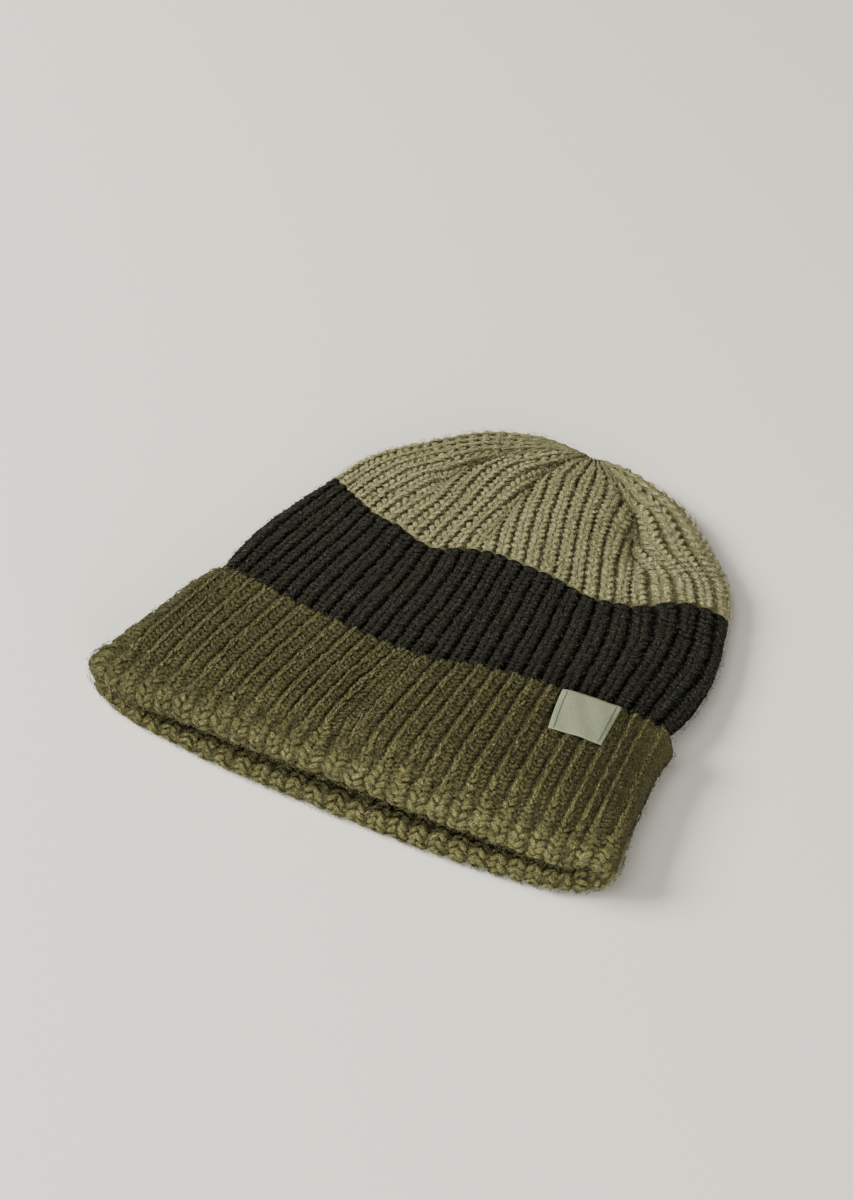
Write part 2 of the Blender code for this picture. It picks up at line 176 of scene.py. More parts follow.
# How far the ribs sway from their even places, in hundredths of a rib: each row is a height in
# millimetres up from the rim and then the sway of each of SWAY_RIBS there
SWAY_RIBS = (0, 1, 3, 6, 9, 11, 12, 13, 15, 20, 24, 27, 28)
SWAY_CUFF = (
    (0, 0, 35, 70, 80, 80, 45, 25, 65, 75, 75, 80, 40, 0),
    (10, 0, 25, 58, 72, 70, 38, 18, 60, 62, 65, 75, 40, 0),
    (24, 0, 12, 48, 62, 62, 30, 5, 50, 50, 58, 70, 40, 0),
    (40, 0, 12, 50, 66, 68, 35, 5, 50, 55, 60, 60, 30, 0),
    (52, 0, 15, 58, 78, 85, 52, 30, 58, 65, 55, 50, 25, 0),
    (65, 0, 20, 66, 90, 98, 72, 58, 72, 82, 55, 45, 20, 0),
)
SWAY_BODY = (
    (65, 0, 25, 40, 0, -6, -5, -10, -30, -20, -10, -5, 20, 0),
    (80, 0, 20, 42, -8, -5, 5, -2, -15, -12, -18, 0, 25, 0),
    (100, 0, 10, 38, -8, 8, 25, 28, 22, -5, -12, 15, 30, 0),
    (118, 0, 5, 32, 6, 15, 35, 42, 36, -5, -8, 32, 30, 0),
    (130, 0, 0, 20, 8, 12, 20, 32, 30, 2, 2, 25, 20, 0),
    (137, 0, -8, 10, 5, 6, 5, 10, 15, -2, 2, 0, 10, 0),
    (143, 0, -4, 12, -4, 4, 2, -5, 0, -22, -20, 0, 5, 0),
    (149, 0, 4, 15, 8, 8, 12, -5, -8, -36, -34, 12, 5, 0),
    (156, 0, 8, 10, 2, 14, 18, 5, 0, -28, -30, 20, 0, 0),
    (165, 0, 5, 15, 20, 22, 15, 5, 8, -10, -12, 8, 5, 0),
    (173, 0, 0, 8, 22, 15, 5, 0, 5, -25, -25, 5, 5, 0),
    (179, 0, 0, 5, 25, 20, 0, 0, 5, -42, -35, 10, 5, 0),
    (188, 0, 0, 5, 20, 15, 0, 0, 5, -30, -25, 10, 0, 0),
    (197, 0, 0, 0, 10, 5, 0, 0, 0, -10, -10, 5, 0, 0),
)

# Sharp creases where ribs run into a dart, and swellings of the side folds, whose depth is less
# than nothing: the rib and the height of each one's middle, its reach in ribs and up the knit, and
# its depth
CREASES = (
    (23.4, 0.168, 1.0, 0.010, 0.0022),
    (22.6, 0.184, 0.8, 0.008, 0.0010),
    (8.0, 0.176, 0.7, 0.012, 0.0010),
    (13.2, 0.178, 0.7, 0.010, 0.0009),
    (18.0, 0.196, 5.0, 0.0018, 0.0010),
    (0.0, 0.088, 1.6, 0.016, -0.0015),
    (28.0, 0.082, 1.6, 0.014, -0.0018),
)

# Ribs and, in tenths of a millimetre, how far the colour line runs up from its even place there.
# The shift fades over DRIFT_REACH up and down the knit.
COLOUR_DRIFT = (
    (0.0, 3.0, 5.0, 7.3, 9.5, 12.2, 14.0, 18.0, 20.8, 22.2, 24.6, 27.0, 28.0),
    (0, -4, 0, 28, 18, -14, 8, 10, -22, 2, 22, 14, 0),
)
DRIFT_REACH = 0.012

# The same for the cuff's upper edge, whose shift fades down the last EDGE_REACH
EDGE_DRIFT = (
    (0.0, 1.5, 3.5, 6.0, 9.0, 11.0, 14.0, 15.5, 18.5, 20.5, 21.3, 24.6, 25.5, 27.4, 28.0),
    (0, 22, 24, 13, 16, 0, 0, 22, 22, 8, 0, 0, 12, 10, 0),
)
EDGE_REACH = 0.016

# The cuff's last stretch before its edge: its length, how far it sinks, and how far its grooves
# and its side folds are drawn down
BRINK = 0.005
BRINK_SINK = 0.0010
GROOVE_DRAW = 0.0010
FOLD_DRAW = 0.0010

# The corners of the cuff's edge: how far the left ones sink, how far the right ones rise, and the
# reach of both in ribs
CORNER_SINK = 0.0022
CORNER_RISE = 0.0014
CORNER_RIBS = 1.3

# The rolls of the rim near the left fold, the lower and the upper one: how far each sinks, less
# than nothing where it swells, the middle of that along the knit and its reach there, and the
# reach of both in ribs
ROLL_SINKS = ((0.0034, -0.0042, 0.0028), (-0.0013, -0.0012, 0.0034))
ROLL_RIBS = 7.0

# Sizes that follow from those above
ALL_RIBS = 2 * RIBS_PER_PANEL
RIM_RIB_WIDTH = 2 * RIM_HALF_WIDTH / RIBS_PER_PANEL
LAYER_STEP = KNIT_THICKNESS + LAYER_GAP
PRESSED_RIDGE = PRESSED_SHARE * REVERSE_RIDGE
COLOUR_LINE = CUFF_DEPTH + BAND_DEPTH
TOP = CUFF_DEPTH + BAND_DEPTH + CROWN_DEPTH
STRETCHES = {
    "cuff": (0.0, CUFF_DEPTH),
    "band": (CUFF_DEPTH, BAND_DEPTH),
    "crown": (COLOUR_LINE, CROWN_DEPTH),
}


def up_to(part, share):
    """Height up the knit at a share of one of its stretches."""
    start, depth = STRETCHES[part]
    return start + share * depth


ROW_HEIGHTS = np.array([up_to(part, share) for _, part, share, _ in ROWS])
FOLD_REACH = np.array([up_to(part, reach) for _, part, _, reach in ROWS])
RIB_SCALE = RIBS_PER_PANEL / LINES["right_fold"]
LINE_RIBS = np.array(list(LINES.values())) * RIB_SCALE
DART_NAMES = ("left_dart", "back_dart", "right_dart")
GORE_EDGES = (0.0, *(LINES[name] * RIB_SCALE for name in DART_NAMES), float(RIBS_PER_PANEL))
SEAM_RIB = round(LINES["back_dart"] * RIB_SCALE)

# The label's place: the width of a rib at the cuff's edge, its two sides in ribs, how far its fold
# lies below the knit's edge, the height of its underside over the middle surface, how far it
# presses the knit, and how far in from its sides its dark threads run
LABEL_PITCH = 2 * RIM_HALF_WIDTH * (ACROSS["cuff_edge"][-1] / 1000) / RIBS_PER_PANEL
LABEL_RIBS = RIBS_PER_PANEL - (LABEL_FROM_RIGHT_FOLD + np.array([LABEL_WIDTH, 0.0])) / LABEL_PITCH
LABEL_SINK = 0.0022
LABEL_UNDER = LAYER_STEP + KNIT_THICKNESS / 2 + 0.0001
LABEL_PRESS = 0.0007
THREAD_INSET = 0.0018

# The tape's shape: how far its lower left corner is drawn in, the height of the two waves of its
# face, how far its sides curl down, and how far over its face the threads' middles lie
CORNER_LEAN = 0.0022
TAPE_WAVES = (0.00018, 0.00012)
TAPE_CURL = 0.00035
THREAD_LIFT = 0.00004

# The backing behind the stitches: its thickness, its points for each rib, and the sinking at which
# its painted shade is darkest
BACKING_THICKNESS = 0.0036
BACKING_STEPS = 6
BACKING_DEEP = 0.0025

# Strands of yarn: how uneven their rings and their thicknesses are, as shares, how far their
# pattern moves for each step of tone and from each strand to the next, and the height below which
# painted shade darkens them and the way from there to the darkest
RING_UNEVEN = 0.09
STRAND_UNEVEN = 0.07
PATTERN_MOVES = (7.31, 0.0137)
DARK_BELOW = -0.0002
DARK_SPAN = 0.0016

# Strands where ribs are narrow: the least share of a rib's width that counts, how much wider than
# their rib's share they are, and how much deeper the narrowest lie
NARROWEST = 0.28
NARROW_EASE = 1.06
NARROW_SINK = 0.0014

# Loose fibres: the share that is kept below the hat, the spread of the bend in radians and of the
# length, the least rise, and the height of the fibre's root
FIBRES_BELOW = 0.15
FIBRE_BEND = 0.7
FIBRE_SPREAD = 0.45
FIBRE_RISE = 0.0002
FIBRE_ROOT = -0.0004

# Stitches of the cuff, in ribs: how far its grooves lie before the start of a rib, where its
# ridges stand after it, and how much further they stand on the rolled rim
CUFF_GROOVE = 0.18
RIDGE_SHIFT = 0.145
RIM_SHIFT = 0.195

# A ridge stitch, and below each value what the rim adds to it: the first and last distance of its
# legs from its middle, in ribs, its end as a share of its row, its radius, and the heights over
# the fabric of its three points
RIDGE_LEGS = ((0.022, 0.078), (0.010, 0.28))
RIDGE_END = (0.95, -0.25)
RIDGE_RADIUS = (0.00064, 0.00060)
RIDGE_HEIGHTS = np.array([[-0.00010, 0.00016, -0.00016], [-0.00060, -0.00072, -0.00090]])

# Where the two strands of a field meet on the rim, how much of their spread they keep there, and
# how low they lie; and the stretch up the knit over which the rim's shape fades
FIELD_ON_RIM = 0.82
FIELD_SPREAD = 0.6
FIELD_SINK = -0.00178
RIM_SHAPE = (0.004, 0.024)

# How far the cuff's strands stray at random: ridges, fields, and more of both on the rim
RIDGE_WOBBLE = 0.00024
FIELD_WOBBLE = 0.00013
RIM_WOBBLE = 0.00009

# Three points of each strand of a field's row, and of a stitch of the seam: the shares of a rib's
# width and of a row's height, and the height over the fabric. Then the width of the two fields
# beside the seam, as a share of a plain one's, and how much lower the ridge after it lies.
FIELD_STRANDS = np.array([
    ((0.16, 0.95, -0.00072), (0.32, 0.50, -0.00068), (0.49, 0.10, -0.00080)),
    ((0.46, 0.05, -0.00086), (0.62, 0.40, -0.00090), (0.77, 0.75, -0.00142)),
])
SEAM_STRAND = np.array([(0.42, 0.0, -0.0003), (0.52, 0.55, 0.0002), (0.62, 0.95, -0.0003)])
SEAM_FIELD = 0.56
SEAM_SINK = 0.0004

# Half the thickness of the strands of the fields and of the seam
FIELD_RADIUS = 0.00100
SEAM_RADIUS = 0.00055

# Tone of the cuff's strands, in the spread of their own tones. The yarn is the same all over, so
# the ridges' lightening is a painted highlight and the fields' darkening painted shade. The rim
# adds its lighter yarn together with painted light from the front, with the share of that at the
# left fold, the share that comes on evenly to the right fold, the share of both on the lower
# panel, smaller for the painted shade under the upper roll, and the stretch up the outer layer
# over which it fades
RIDGE_LIGHT = 2.6
FIELD_LIGHT = -1.2
RIM_LIGHT = 14.0
RIM_LIGHT_LEFT = 0.33
RIM_LIGHT_RIGHT = 1.42
LOWER_LIGHT = 0.62
RIM_FADE = (0.008, 0.032)

# Inside the mouth: how far the rolls swell and how much darker painted shade makes their strands,
# each with the stretch in from the rim over which it sets in
MOUTH_SWELL = 0.0009
SWELL_START = (0.001, 0.008)
MOUTH_SHADE = 4.8
SHADE_START = (0.0031, 0.0060)

# The wool's pattern: how fine its fibres are across the yarn, twice, and along it, the noise of
# its fibres, its flecks and its soft patches, each as scale, detail, roughness and the two ends of
# its middle range, and the least share of its colour that is left
FIBRE_STRETCH = (2600.0, 2600.0, 1000.0)
FIBRE_NOISE = (1.0, 2.0, 0.6, 0.32, 0.68)
FLECK_NOISE = (2100.0, 2.0, 0.75, 0.30, 0.70)
PATCH_NOISE = (70.0, 3.0, 0.6, 0.30, 0.70)
LEAST_LIGHT = 0.12

# The camera: its turn and height round the point it looks at, its distance and its lens
CAMERA_AZIMUTH = 0.51286
CAMERA_ELEVATION = 0.72678
CAMERA_DISTANCE = 0.93633
CAMERA_TARGET = (-0.01630, -0.00211, 0.0100)
LENS_MM = 75.0
SENSOR_MM = 36.0

# The soft lamps, aimed at the origin: turn from the camera and height in degrees, distance, power,
# width and colour
LAMPS = (
    ("key", -98.0, 36.0, 2.6, 168.0, 1.1, (1.0, 0.97, 0.90)),
    ("top", -50.0, 64.0, 2.4, 30.0, 1.4, (1.0, 0.98, 0.94)),
    ("front", 12.0, 16.0, 2.4, 70.0, 1.2, (1.0, 0.98, 0.94)),
)
SKY_COLOUR = (1.0, 0.97, 0.90, 1.0)
SKY_STRENGTH = 0.08

# Half the floor's width, and how far it lies below the hat
FLOOR_HALF = 12.0
FLOOR_SINK = 0.0002


def table(rows):
    """The rows of a table, in the order of ROWS, as an array."""
    return np.array([rows[name] for name, *_ in ROWS if name in rows])


def together(*values):
    """Arrays whose shapes fit each other, side by side along a new last axis."""
    return np.stack(np.broadcast_arrays(*values), -1)


def ease(value, low, high):
    """From 0 below low to 1 above high, without a corner at either."""
    share = np.clip((value - low) / (high - low), 0.0, 1.0)
    return share * share * (3 - 2 * share)


def bell(*ways):
    """From 1 in the middle to 0 far off: the exponential of less the sum of the squares."""
    return np.exp(-sum(way**2 for way in ways))


def groove(rib, shift=0.0):
    """From 0 at a rib's middle to 1 at its two grooves, by a cosine."""
    return 0.5 + 0.5 * np.cos(2 * np.pi * (rib + shift))


def knot_before(knots, at):
    """The knot before each value, and how far the value lies towards the next, as a share."""
    before = np.clip(np.searchsorted(knots, at, side="right") - 1, 0, len(knots) - 2)
    return before, (at - knots[before]) / (knots[before + 1] - knots[before])


def between(grid, row, col, after, above, right):
    """Values between two rows and two columns of a grid, by linear steps both ways."""
    low, high = (grid[near, col] * (1 - right) + grid[near, after] * right
                 for near in (row, row + 1))
    return low * (1 - above) + high * above


def drift(rib, knots):
    """How far an edge runs up the knit at each rib, by linear steps, in metres."""
    ribs, shifts = knots
    return np.interp(np.mod(rib, ALL_RIBS) / RIB_SCALE, ribs, np.array(shifts) / 10000)


def smooth(at, knots, values):
    """Values between knots by a cubic that never overshoots them.

    values has one row of knot values for each row of at. The slope at a knot is the harmonic
    mean of the slopes beside it, or nothing where they differ in sign.
    """
    step = np.diff(knots)
    rise = np.diff(values, axis=-1) / step
    before, after = rise[..., :-1], rise[..., 1:]
    same = before * after > 0
    total = np.where(same, before + after, 1.0)
    inner = np.where(same, 2.0 * before * after / total, 0.0)
    slope = np.concatenate([rise[..., :1], inner, rise[..., -1:]], axis=-1)
    cell, share = knot_before(knots, at)
    low, high = (np.take_along_axis(values, cell + more, -1) for more in (0, 1))
    low_slope, high_slope = (np.take_along_axis(slope, cell + more, -1) for more in (0, 1))
    turned = share * share * (3.0 - 2.0 * share)
    leave = share * (1.0 - share) ** 2
    reach = share * share * (1.0 - share)
    return low + (high - low) * turned + step[cell] * (low_slope * leave - high_slope * reach)


def by_height(height, rows, knots=ROW_HEIGHTS):
    """Each column of a table at the given heights up the knit."""
    columns = np.asarray(rows, float).T
    at = np.broadcast_to(height, (len(columns), len(height)))
    return smooth(at, knots, columns).T


def past_darts(rib, height):
    """Rib numbers after the darts have taken in the ribs beside them."""
    known = table(SWALLOWED) * RIB_SCALE
    crown_rows = ROW_HEIGHTS[-len(known):]
    taken = by_height(np.maximum(height, crown_rows[0]), known, crown_rows)
    taken = np.pad(taken, ((0, 0), (1, 1)))
    result = rib.copy()
    for gore, (low, high) in enumerate(zip(GORE_EDGES, GORE_EDGES[1:])):
        from_left, from_right = taken[:, 2 * gore, None], taken[:, 2 * gore + 1, None]
        span = (high - low) - (from_left + from_right)
        kept = np.clip((rib - (low + from_left)) / span, 0.0, 1.0)
        plain = (rib - low) / (high - low)
        melt = np.minimum(DART_MELT, from_left + from_right)
        moved = low + (high - low) * ((1.0 - melt) * kept + melt * plain)
        result = np.where((rib >= low) & (rib <= high), moved, result)
    return result


def fold_turn(panel_rib):
    """Where a rib lies across the panel in plan, and how far it has turned up the fold."""
    from_fold = np.minimum(panel_rib, RIBS_PER_PANEL - panel_rib)
    angle = np.clip(from_fold / FOLD_TURN_RIBS, 0.0, 1.0) * np.pi / 2
    turned = FOLD_TURN_RIBS * (1.0 - np.cos(angle))
    inset = np.where(from_fold < FOLD_TURN_RIBS, turned, from_fold)
    plan_rib = np.where(panel_rib < RIBS_PER_PANEL / 2, inset, RIBS_PER_PANEL - inset)
    return plan_rib, np.sin(angle)


def dent_depth(plan_rib, height):
    """Sum of the dents, each a bell along its line and across it, as a share of the hump."""
    row = np.interp(height, ROW_HEIGHTS, np.arange(len(ROWS)))[:, None]
    depth = np.zeros_like(plan_rib)
    for line, middle, reach, ribs, share in DENTS:
        beside = (plan_rib / RIB_SCALE - LINES[line]) / ribs
        depth += share * bell(beside, (row - middle) / reach)
    return depth


def body_surface(rib, height):
    """Points of the middle surface of the tube, an array of rows by ribs by three.

    In plan a point lies on a smooth curve through the lines of its row. Its height is that of
    the side fold, plus or minus the fold's round, and on the upper panel plus the hump, whose
    share is one less the across share to the power of the shoulder, all to the softness.
    """
    rib = np.mod(np.broadcast_to(rib, (len(height), np.shape(rib)[-1])), ALL_RIBS)
    upper = rib <= RIBS_PER_PANEL
    panel_rib = past_darts(np.where(upper, rib, ALL_RIBS - rib), height)
    plan_rib, turned = fold_turn(panel_rib)
    across, dropped = table(ACROSS) / 1000, table(DROP) / 100
    x = RIM_HALF_WIDTH * smooth(plan_rib, LINE_RIBS, by_height(height, across))
    y = by_height(height, FOLD_REACH[:, None])
    y = y - MIDDLE_DROP * smooth(plan_rib, LINE_RIBS, by_height(height, dropped))
    on_cuff, opened, hump = by_height(height, table(RISE)).T[:, :, None]
    fold_radius = KNIT_THICKNESS / 2 + FOLD_SPACE * opened
    fold_height = KNIT_THICKNESS / 2 + fold_radius + (LAYER_STEP + PRESSED_RIDGE) * on_cuff
    from_middle = np.abs(2.0 * plan_rib / RIBS_PER_PANEL - 1.0)
    bump = np.maximum(1.0 - from_middle**HUMP_SHOULDER, 0.0) ** HUMP_SOFTNESS
    raised = HUMP_HEIGHT * bump * (hump - dent_depth(plan_rib, height) * turned)
    z = fold_height + np.where(upper, fold_radius * turned + raised, -fold_radius * turned)
    return together(x, y, z)


def unit(ways):
    """Vectors brought to a length of one."""
    return ways / np.maximum(np.linalg.norm(ways, axis=-1, keepdims=True), 1e-9)


def hidden(rib, margin):
    """Whether ribs lie below the hat, over a margin of ribs from its folds, and face the floor."""
    return np.abs(np.mod(rib, ALL_RIBS) - 1.5 * RIBS_PER_PANEL) < RIBS_PER_PANEL / 2 - margin


class Fabric:
    """The middle surface, sampled once on a fine grid and read between the grid's points.

    At each point the grid holds the place, the way up the knit, the way out of the fabric and
    the width of a rib as a share of its width at the rim.
    """

    PER_RIB = 12
    ROW_STEP = 0.0005
    TURN_STEP = 0.05

    def __init__(self):
        self.heights = np.arange(0.0, TOP + self.ROW_STEP, self.ROW_STEP)
        self.heights[-1] = TOP
        rib = np.arange(ALL_RIBS * self.PER_RIB) / self.PER_RIB
        low = np.maximum(self.heights - self.ROW_STEP, 0.0)
        high = np.minimum(self.heights + self.ROW_STEP, TOP)
        place = body_surface(rib, self.heights)
        up = unit(body_surface(rib, high) - body_surface(rib, low))
        round_it = body_surface(rib + self.TURN_STEP, self.heights)
        out = unit(np.cross(round_it - body_surface(rib - self.TURN_STEP, self.heights), up))
        half = self.PER_RIB // 2
        width = np.linalg.norm(np.roll(place, -half, 1) - np.roll(place, half, 1), axis=-1)
        share = np.clip(width / RIM_RIB_WIDTH, 0.0, 1.0)[..., None]
        self.grid = np.concatenate([place, up, out, share], axis=-1)
        self.shift = np.zeros(3)
        self.shift = self.frame_shift()

    def read(self, rib, height):
        """The grid's ten numbers at any ribs and heights."""
        rib, height = np.broadcast_arrays(rib, height)
        across = np.mod(rib, ALL_RIBS) * self.PER_RIB
        along = np.clip(height, 0.0, TOP) / self.ROW_STEP
        col = np.floor(across).astype(int)
        row = np.minimum(np.floor(along).astype(int), len(self.heights) - 2)
        right, above = (across - col)[..., None], (along - row)[..., None]
        columns = self.grid.shape[1]
        return between(self.grid, row, col % columns, (col + 1) % columns, above, right)

    def lay(self, rib, height, offset):
        """Points over the middle surface. Below the rim the surface runs on straight, and no
        point lies below the floor's height."""
        known = self.read(rib, height)
        beyond = (height - np.clip(height, 0.0, TOP))[..., None]
        points = known[..., 0:3] + known[..., 3:6] * beyond
        points = points + known[..., 6:9] * np.asarray(offset)[..., None]
        points[..., 2] = np.maximum(points[..., 2], 0.0)
        return points + self.shift

    def frame_shift(self):
        """From the tables' own axes to the frame's: the crown's first row reaches as far to the
        left, to the right and to the front as the crown's solid does."""
        rib = np.arange(ALL_RIBS)[:, None] + np.array([[1, 2]]) / 3
        start = COLOUR_LINE + CLEARANCE / 2
        row = self.lay(rib.ravel(), np.full(rib.size, start), KNIT_THICKNESS / 2)
        low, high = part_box("crown")
        middle = (low[0] + high[0] - row[:, 0].min() - row[:, 0].max()) / 2
        return np.array([middle, low[1] - row[:, 1].min(), 0.0])


fabric = Fabric()


class Cloth:
    """One stretch of the knit: where its face lies for each distance along it.

    A point is given by its rib, its distance along the knit and its height over the face that
    shows. path() gives the height up the hat and the offset from the middle surface, near_edge()
    what the cloth's own folds and edges do to the place, and sway() how far the ribs have moved
    sideways there.
    """

    sways = SWAY_BODY

    def path(self, along):
        return along, np.full(np.shape(along), KNIT_THICKNESS / 2)

    def near_edge(self, rib, along, over):
        """The place after the creases have drawn the cloth in, each by a bell across it and along
        it, and the colour line has run up or down."""
        for crease_rib, height, reach, half, depth in CREASES:
            away = np.mod(rib - crease_rib * RIB_SCALE + RIBS_PER_PANEL, ALL_RIBS) - RIBS_PER_PANEL
            over = over - depth * bell(away / (reach * RIB_SCALE), (along - height) / half)
        fading = bell((along - COLOUR_LINE) / DRIFT_REACH)
        return along + drift(rib, COLOUR_DRIFT) * fading, over

    def sway(self, rib, height):
        """The table's shift, eased up the knit and by linear steps round it. The lower panel has
        a smaller one than the rib above it."""
        rows = np.array(self.sways)
        heights, grid = rows[:, 0] * 0.001, rows[:, 1:] / 100
        rib = np.mod(rib, ALL_RIBS)
        upper = rib <= RIBS_PER_PANEL
        panel_rib = np.where(upper, rib, ALL_RIBS - rib) / RIB_SCALE
        col, right = knot_before(np.array(SWAY_RIBS), panel_rib)
        row, above = knot_before(heights, np.clip(height, heights[0], heights[-1]))
        shift = between(grid, row, col, col + 1, ease(above, 0.0, 1.0), right)
        return RIB_SCALE * shift * np.where(upper, 1.0, -0.6)

    def lay(self, rib, along, over):
        """Points of the cloth, set off square to its path by their height over it."""
        step = 1e-5
        rib, along, over = np.broadcast_arrays(rib, along, over)
        along, over = self.near_edge(rib, along, over)
        height, offset = self.path(along)
        more_height, more_offset = self.path(along + step)
        length = np.hypot(more_height - height, more_offset - offset)
        up, out = (more_height - height) / length, (more_offset - offset) / length
        rib = rib + self.sway(rib, height)
        return fabric.lay(rib, height - out * over, offset + up * over)

    def width(self, rib, along):
        """Width of a rib there, as a share of its width at the rim."""
        height = np.clip(self.path(along)[0], 0.0, TOP)
        return fabric.read(rib + self.sway(rib, height), height)[..., 9]


class CuffCloth(Cloth):
    """The cuff, measured from the outermost line of the rolled rim.

    Above it the cloth turns round the roll and runs up the outer layer, below it round the roll
    and up the inside. The offset eases from the roll's to that of the layer.
    """

    sways = SWAY_CUFF
    RADIUS = ROLL_HOLLOW + KNIT_THICKNESS / 2
    EASE = 0.012

    def path(self, along):
        side = np.sign(along) + (along == 0)
        distance = np.abs(along)
        angle = np.minimum(distance / self.RADIUS, np.pi / 2)
        past = np.maximum(distance - self.at_height(0.0), 0.0)
        slack = (self.RADIUS - LAYER_STEP / 2) * ease(past, 0.0, self.EASE)
        face = KNIT_THICKNESS / 2
        height = past - self.RADIUS * np.cos(angle) - face * np.cos(angle)
        offset = self.RADIUS * np.sin(angle) - slack + face * np.sin(angle)
        return height, LAYER_STEP / 2 + side * offset

    def near_edge(self, rib, along, over):
        """The place after all that bends the cuff.

        The last millimetres before its edge sink, and are drawn down at the grooves and side
        folds. The edge runs up by its table, the label presses the knit that it lies on, and the
        edge's left corners sink while its right ones rise. Near the left fold the lower roll
        sinks and the upper one swells, each by a bell, which opens the mouth there. The back of
        the knit, over 3 mm below its face, stays in its place.
        """
        edge = self.at_height(CUFF_DEPTH)
        fold = np.abs(np.mod(rib + RIBS_PER_PANEL / 2, RIBS_PER_PANEL) - RIBS_PER_PANEL / 2)
        left = np.cos(np.pi * rib / RIBS_PER_PANEL) > 0
        beneath = np.mod(rib, ALL_RIBS) > RIBS_PER_PANEL
        near = np.clip((along - edge + BRINK) / BRINK, 0.0, 1.0) ** 2
        last = ease(along, edge - EDGE_REACH, edge)
        laid = np.mod(rib + self.sway(rib, along - self.at_height(0.0)), ALL_RIBS)
        beside = np.abs(laid - LABEL_RIBS.mean()) / (np.ptp(LABEL_RIBS) / 2)
        tape_end = edge - LABEL_HEIGHT
        pressed = LABEL_PRESS * (1 - ease(beside, 1.0, 1.12))
        pressed = pressed * ease(along, tape_end - 0.004, tape_end)
        drawn = GROOVE_DRAW * groove(rib, CUFF_GROOVE) ** 1.5 + FOLD_DRAW * bell(fold)
        along = along - near * drawn + last * drift(rib, EDGE_DRIFT)
        corner = np.where(left, CORNER_SINK, -CORNER_RISE) * bell(fold / CORNER_RIBS)
        lower, upper = (depth * bell((along - middle) / reach)
                        for depth, middle, reach in ROLL_SINKS)
        rolls = np.where(beneath, lower, upper) * left * bell(fold / ROLL_RIBS)
        rolls = rolls * ease(fold, 0.2, 0.8)
        sunk = pressed + BRINK_SINK * near * near + last * corner + rolls
        return along, over - sunk * (over > -0.003)

    def at_height(self, height):
        """Distance along the outer layer at which it lies that far up from the rim."""
        return height + self.RADIUS * np.pi / 2


hat_cloth = Cloth()
cuff_cloth = CuffCloth()


def put_mesh(name, material, points, quads, triangles, **facts):
    """A mesh object from arrays of points, four-cornered and three-cornered faces.

    facts are arrays of one, or of three, numbers for each point, kept as attributes by name.
    """
    corners = np.concatenate([quads.ravel(), triangles.ravel()])
    sides = np.repeat([4, 3], [len(quads), len(triangles)])
    data = bpy.data.meshes.new(name)
    data.vertices.add(len(points))
    data.vertices.foreach_set("co", np.asarray(points, np.float32).ravel())
    data.loops.add(len(corners))
    data.loops.foreach_set("vertex_index", corners.astype(np.int32))
    data.polygons.add(len(sides))
    data.polygons.foreach_set("loop_start", (np.cumsum(sides) - sides).astype(np.int32))
    data.polygons.foreach_set("use_smooth", np.ones(len(sides), bool))
    data.update(calc_edges=True)
    for fact, values in facts.items():
        kind, key = ("FLOAT_VECTOR", "vector") if values.ndim == 2 else ("FLOAT", "value")
        layer = data.attributes.new(fact, kind, "POINT")
        layer.data.foreach_set(key, np.asarray(values, np.float32).ravel())
    data.materials.append(material)
    item = bpy.data.objects.new(name, data)
    bpy.context.scene.collection.objects.link(item)
    return item


def put(part, piece, shape, material):
    """A finished piece: its mesh, its body, and the solid it stands for, which it hides."""
    item = put_mesh(f"{part}_{piece}", material, **shape)
    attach(item, "root")
    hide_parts(part)
    return item


def as_shape(points, quads, triangles, yarn=None, tone=0.0, deep=0.0):
    """Points and faces, with each point's place in the yarn, its strand's tone and its depth,
    which sets its painted shade. No point stays below the floor's height."""
    points = points.reshape(-1, 3)
    points[:, 2] = np.maximum(points[:, 2], 0.0)
    yarn = points if yarn is None else yarn.reshape(-1, 3)
    tone, deep = (np.broadcast_to(np.ravel(fact), len(points)) for fact in (tone, deep))
    return {"points": points, "quads": quads.reshape(-1, 4), "triangles": triangles.reshape(-1, 3),
            "yarn": yarn, "tone": tone, "deep": deep}


def joined(shapes):
    """Several shapes as one."""
    start = np.cumsum([0] + [len(shape["points"]) for shape in shapes])
    faces = ("quads", "triangles")
    return {key: np.concatenate([
        shape[key] + more * (key in faces) for shape, more in zip(shapes, start)
    ]) for key in shapes[0]}


def ring_quads(chosen, rings, sides):
    """Four-cornered faces between each chosen ring of points and the next of all the rings."""
    k = np.arange(sides)
    after = (k + 1) % sides
    low, high = chosen[:, None] * sides, (chosen[:, None] + 1) % rings * sides
    return together(low + k, low + after, high + after, high + k).reshape(-1, 4)


def fan(first, sides, pole, turned=False):
    """Three-cornered faces between a ring of points and a pole, turned over if asked."""
    k = np.arange(sides)
    after = (k + 1) % sides
    one, other = (after, k) if turned else (k, after)
    return together(first + one, first + other, pole)


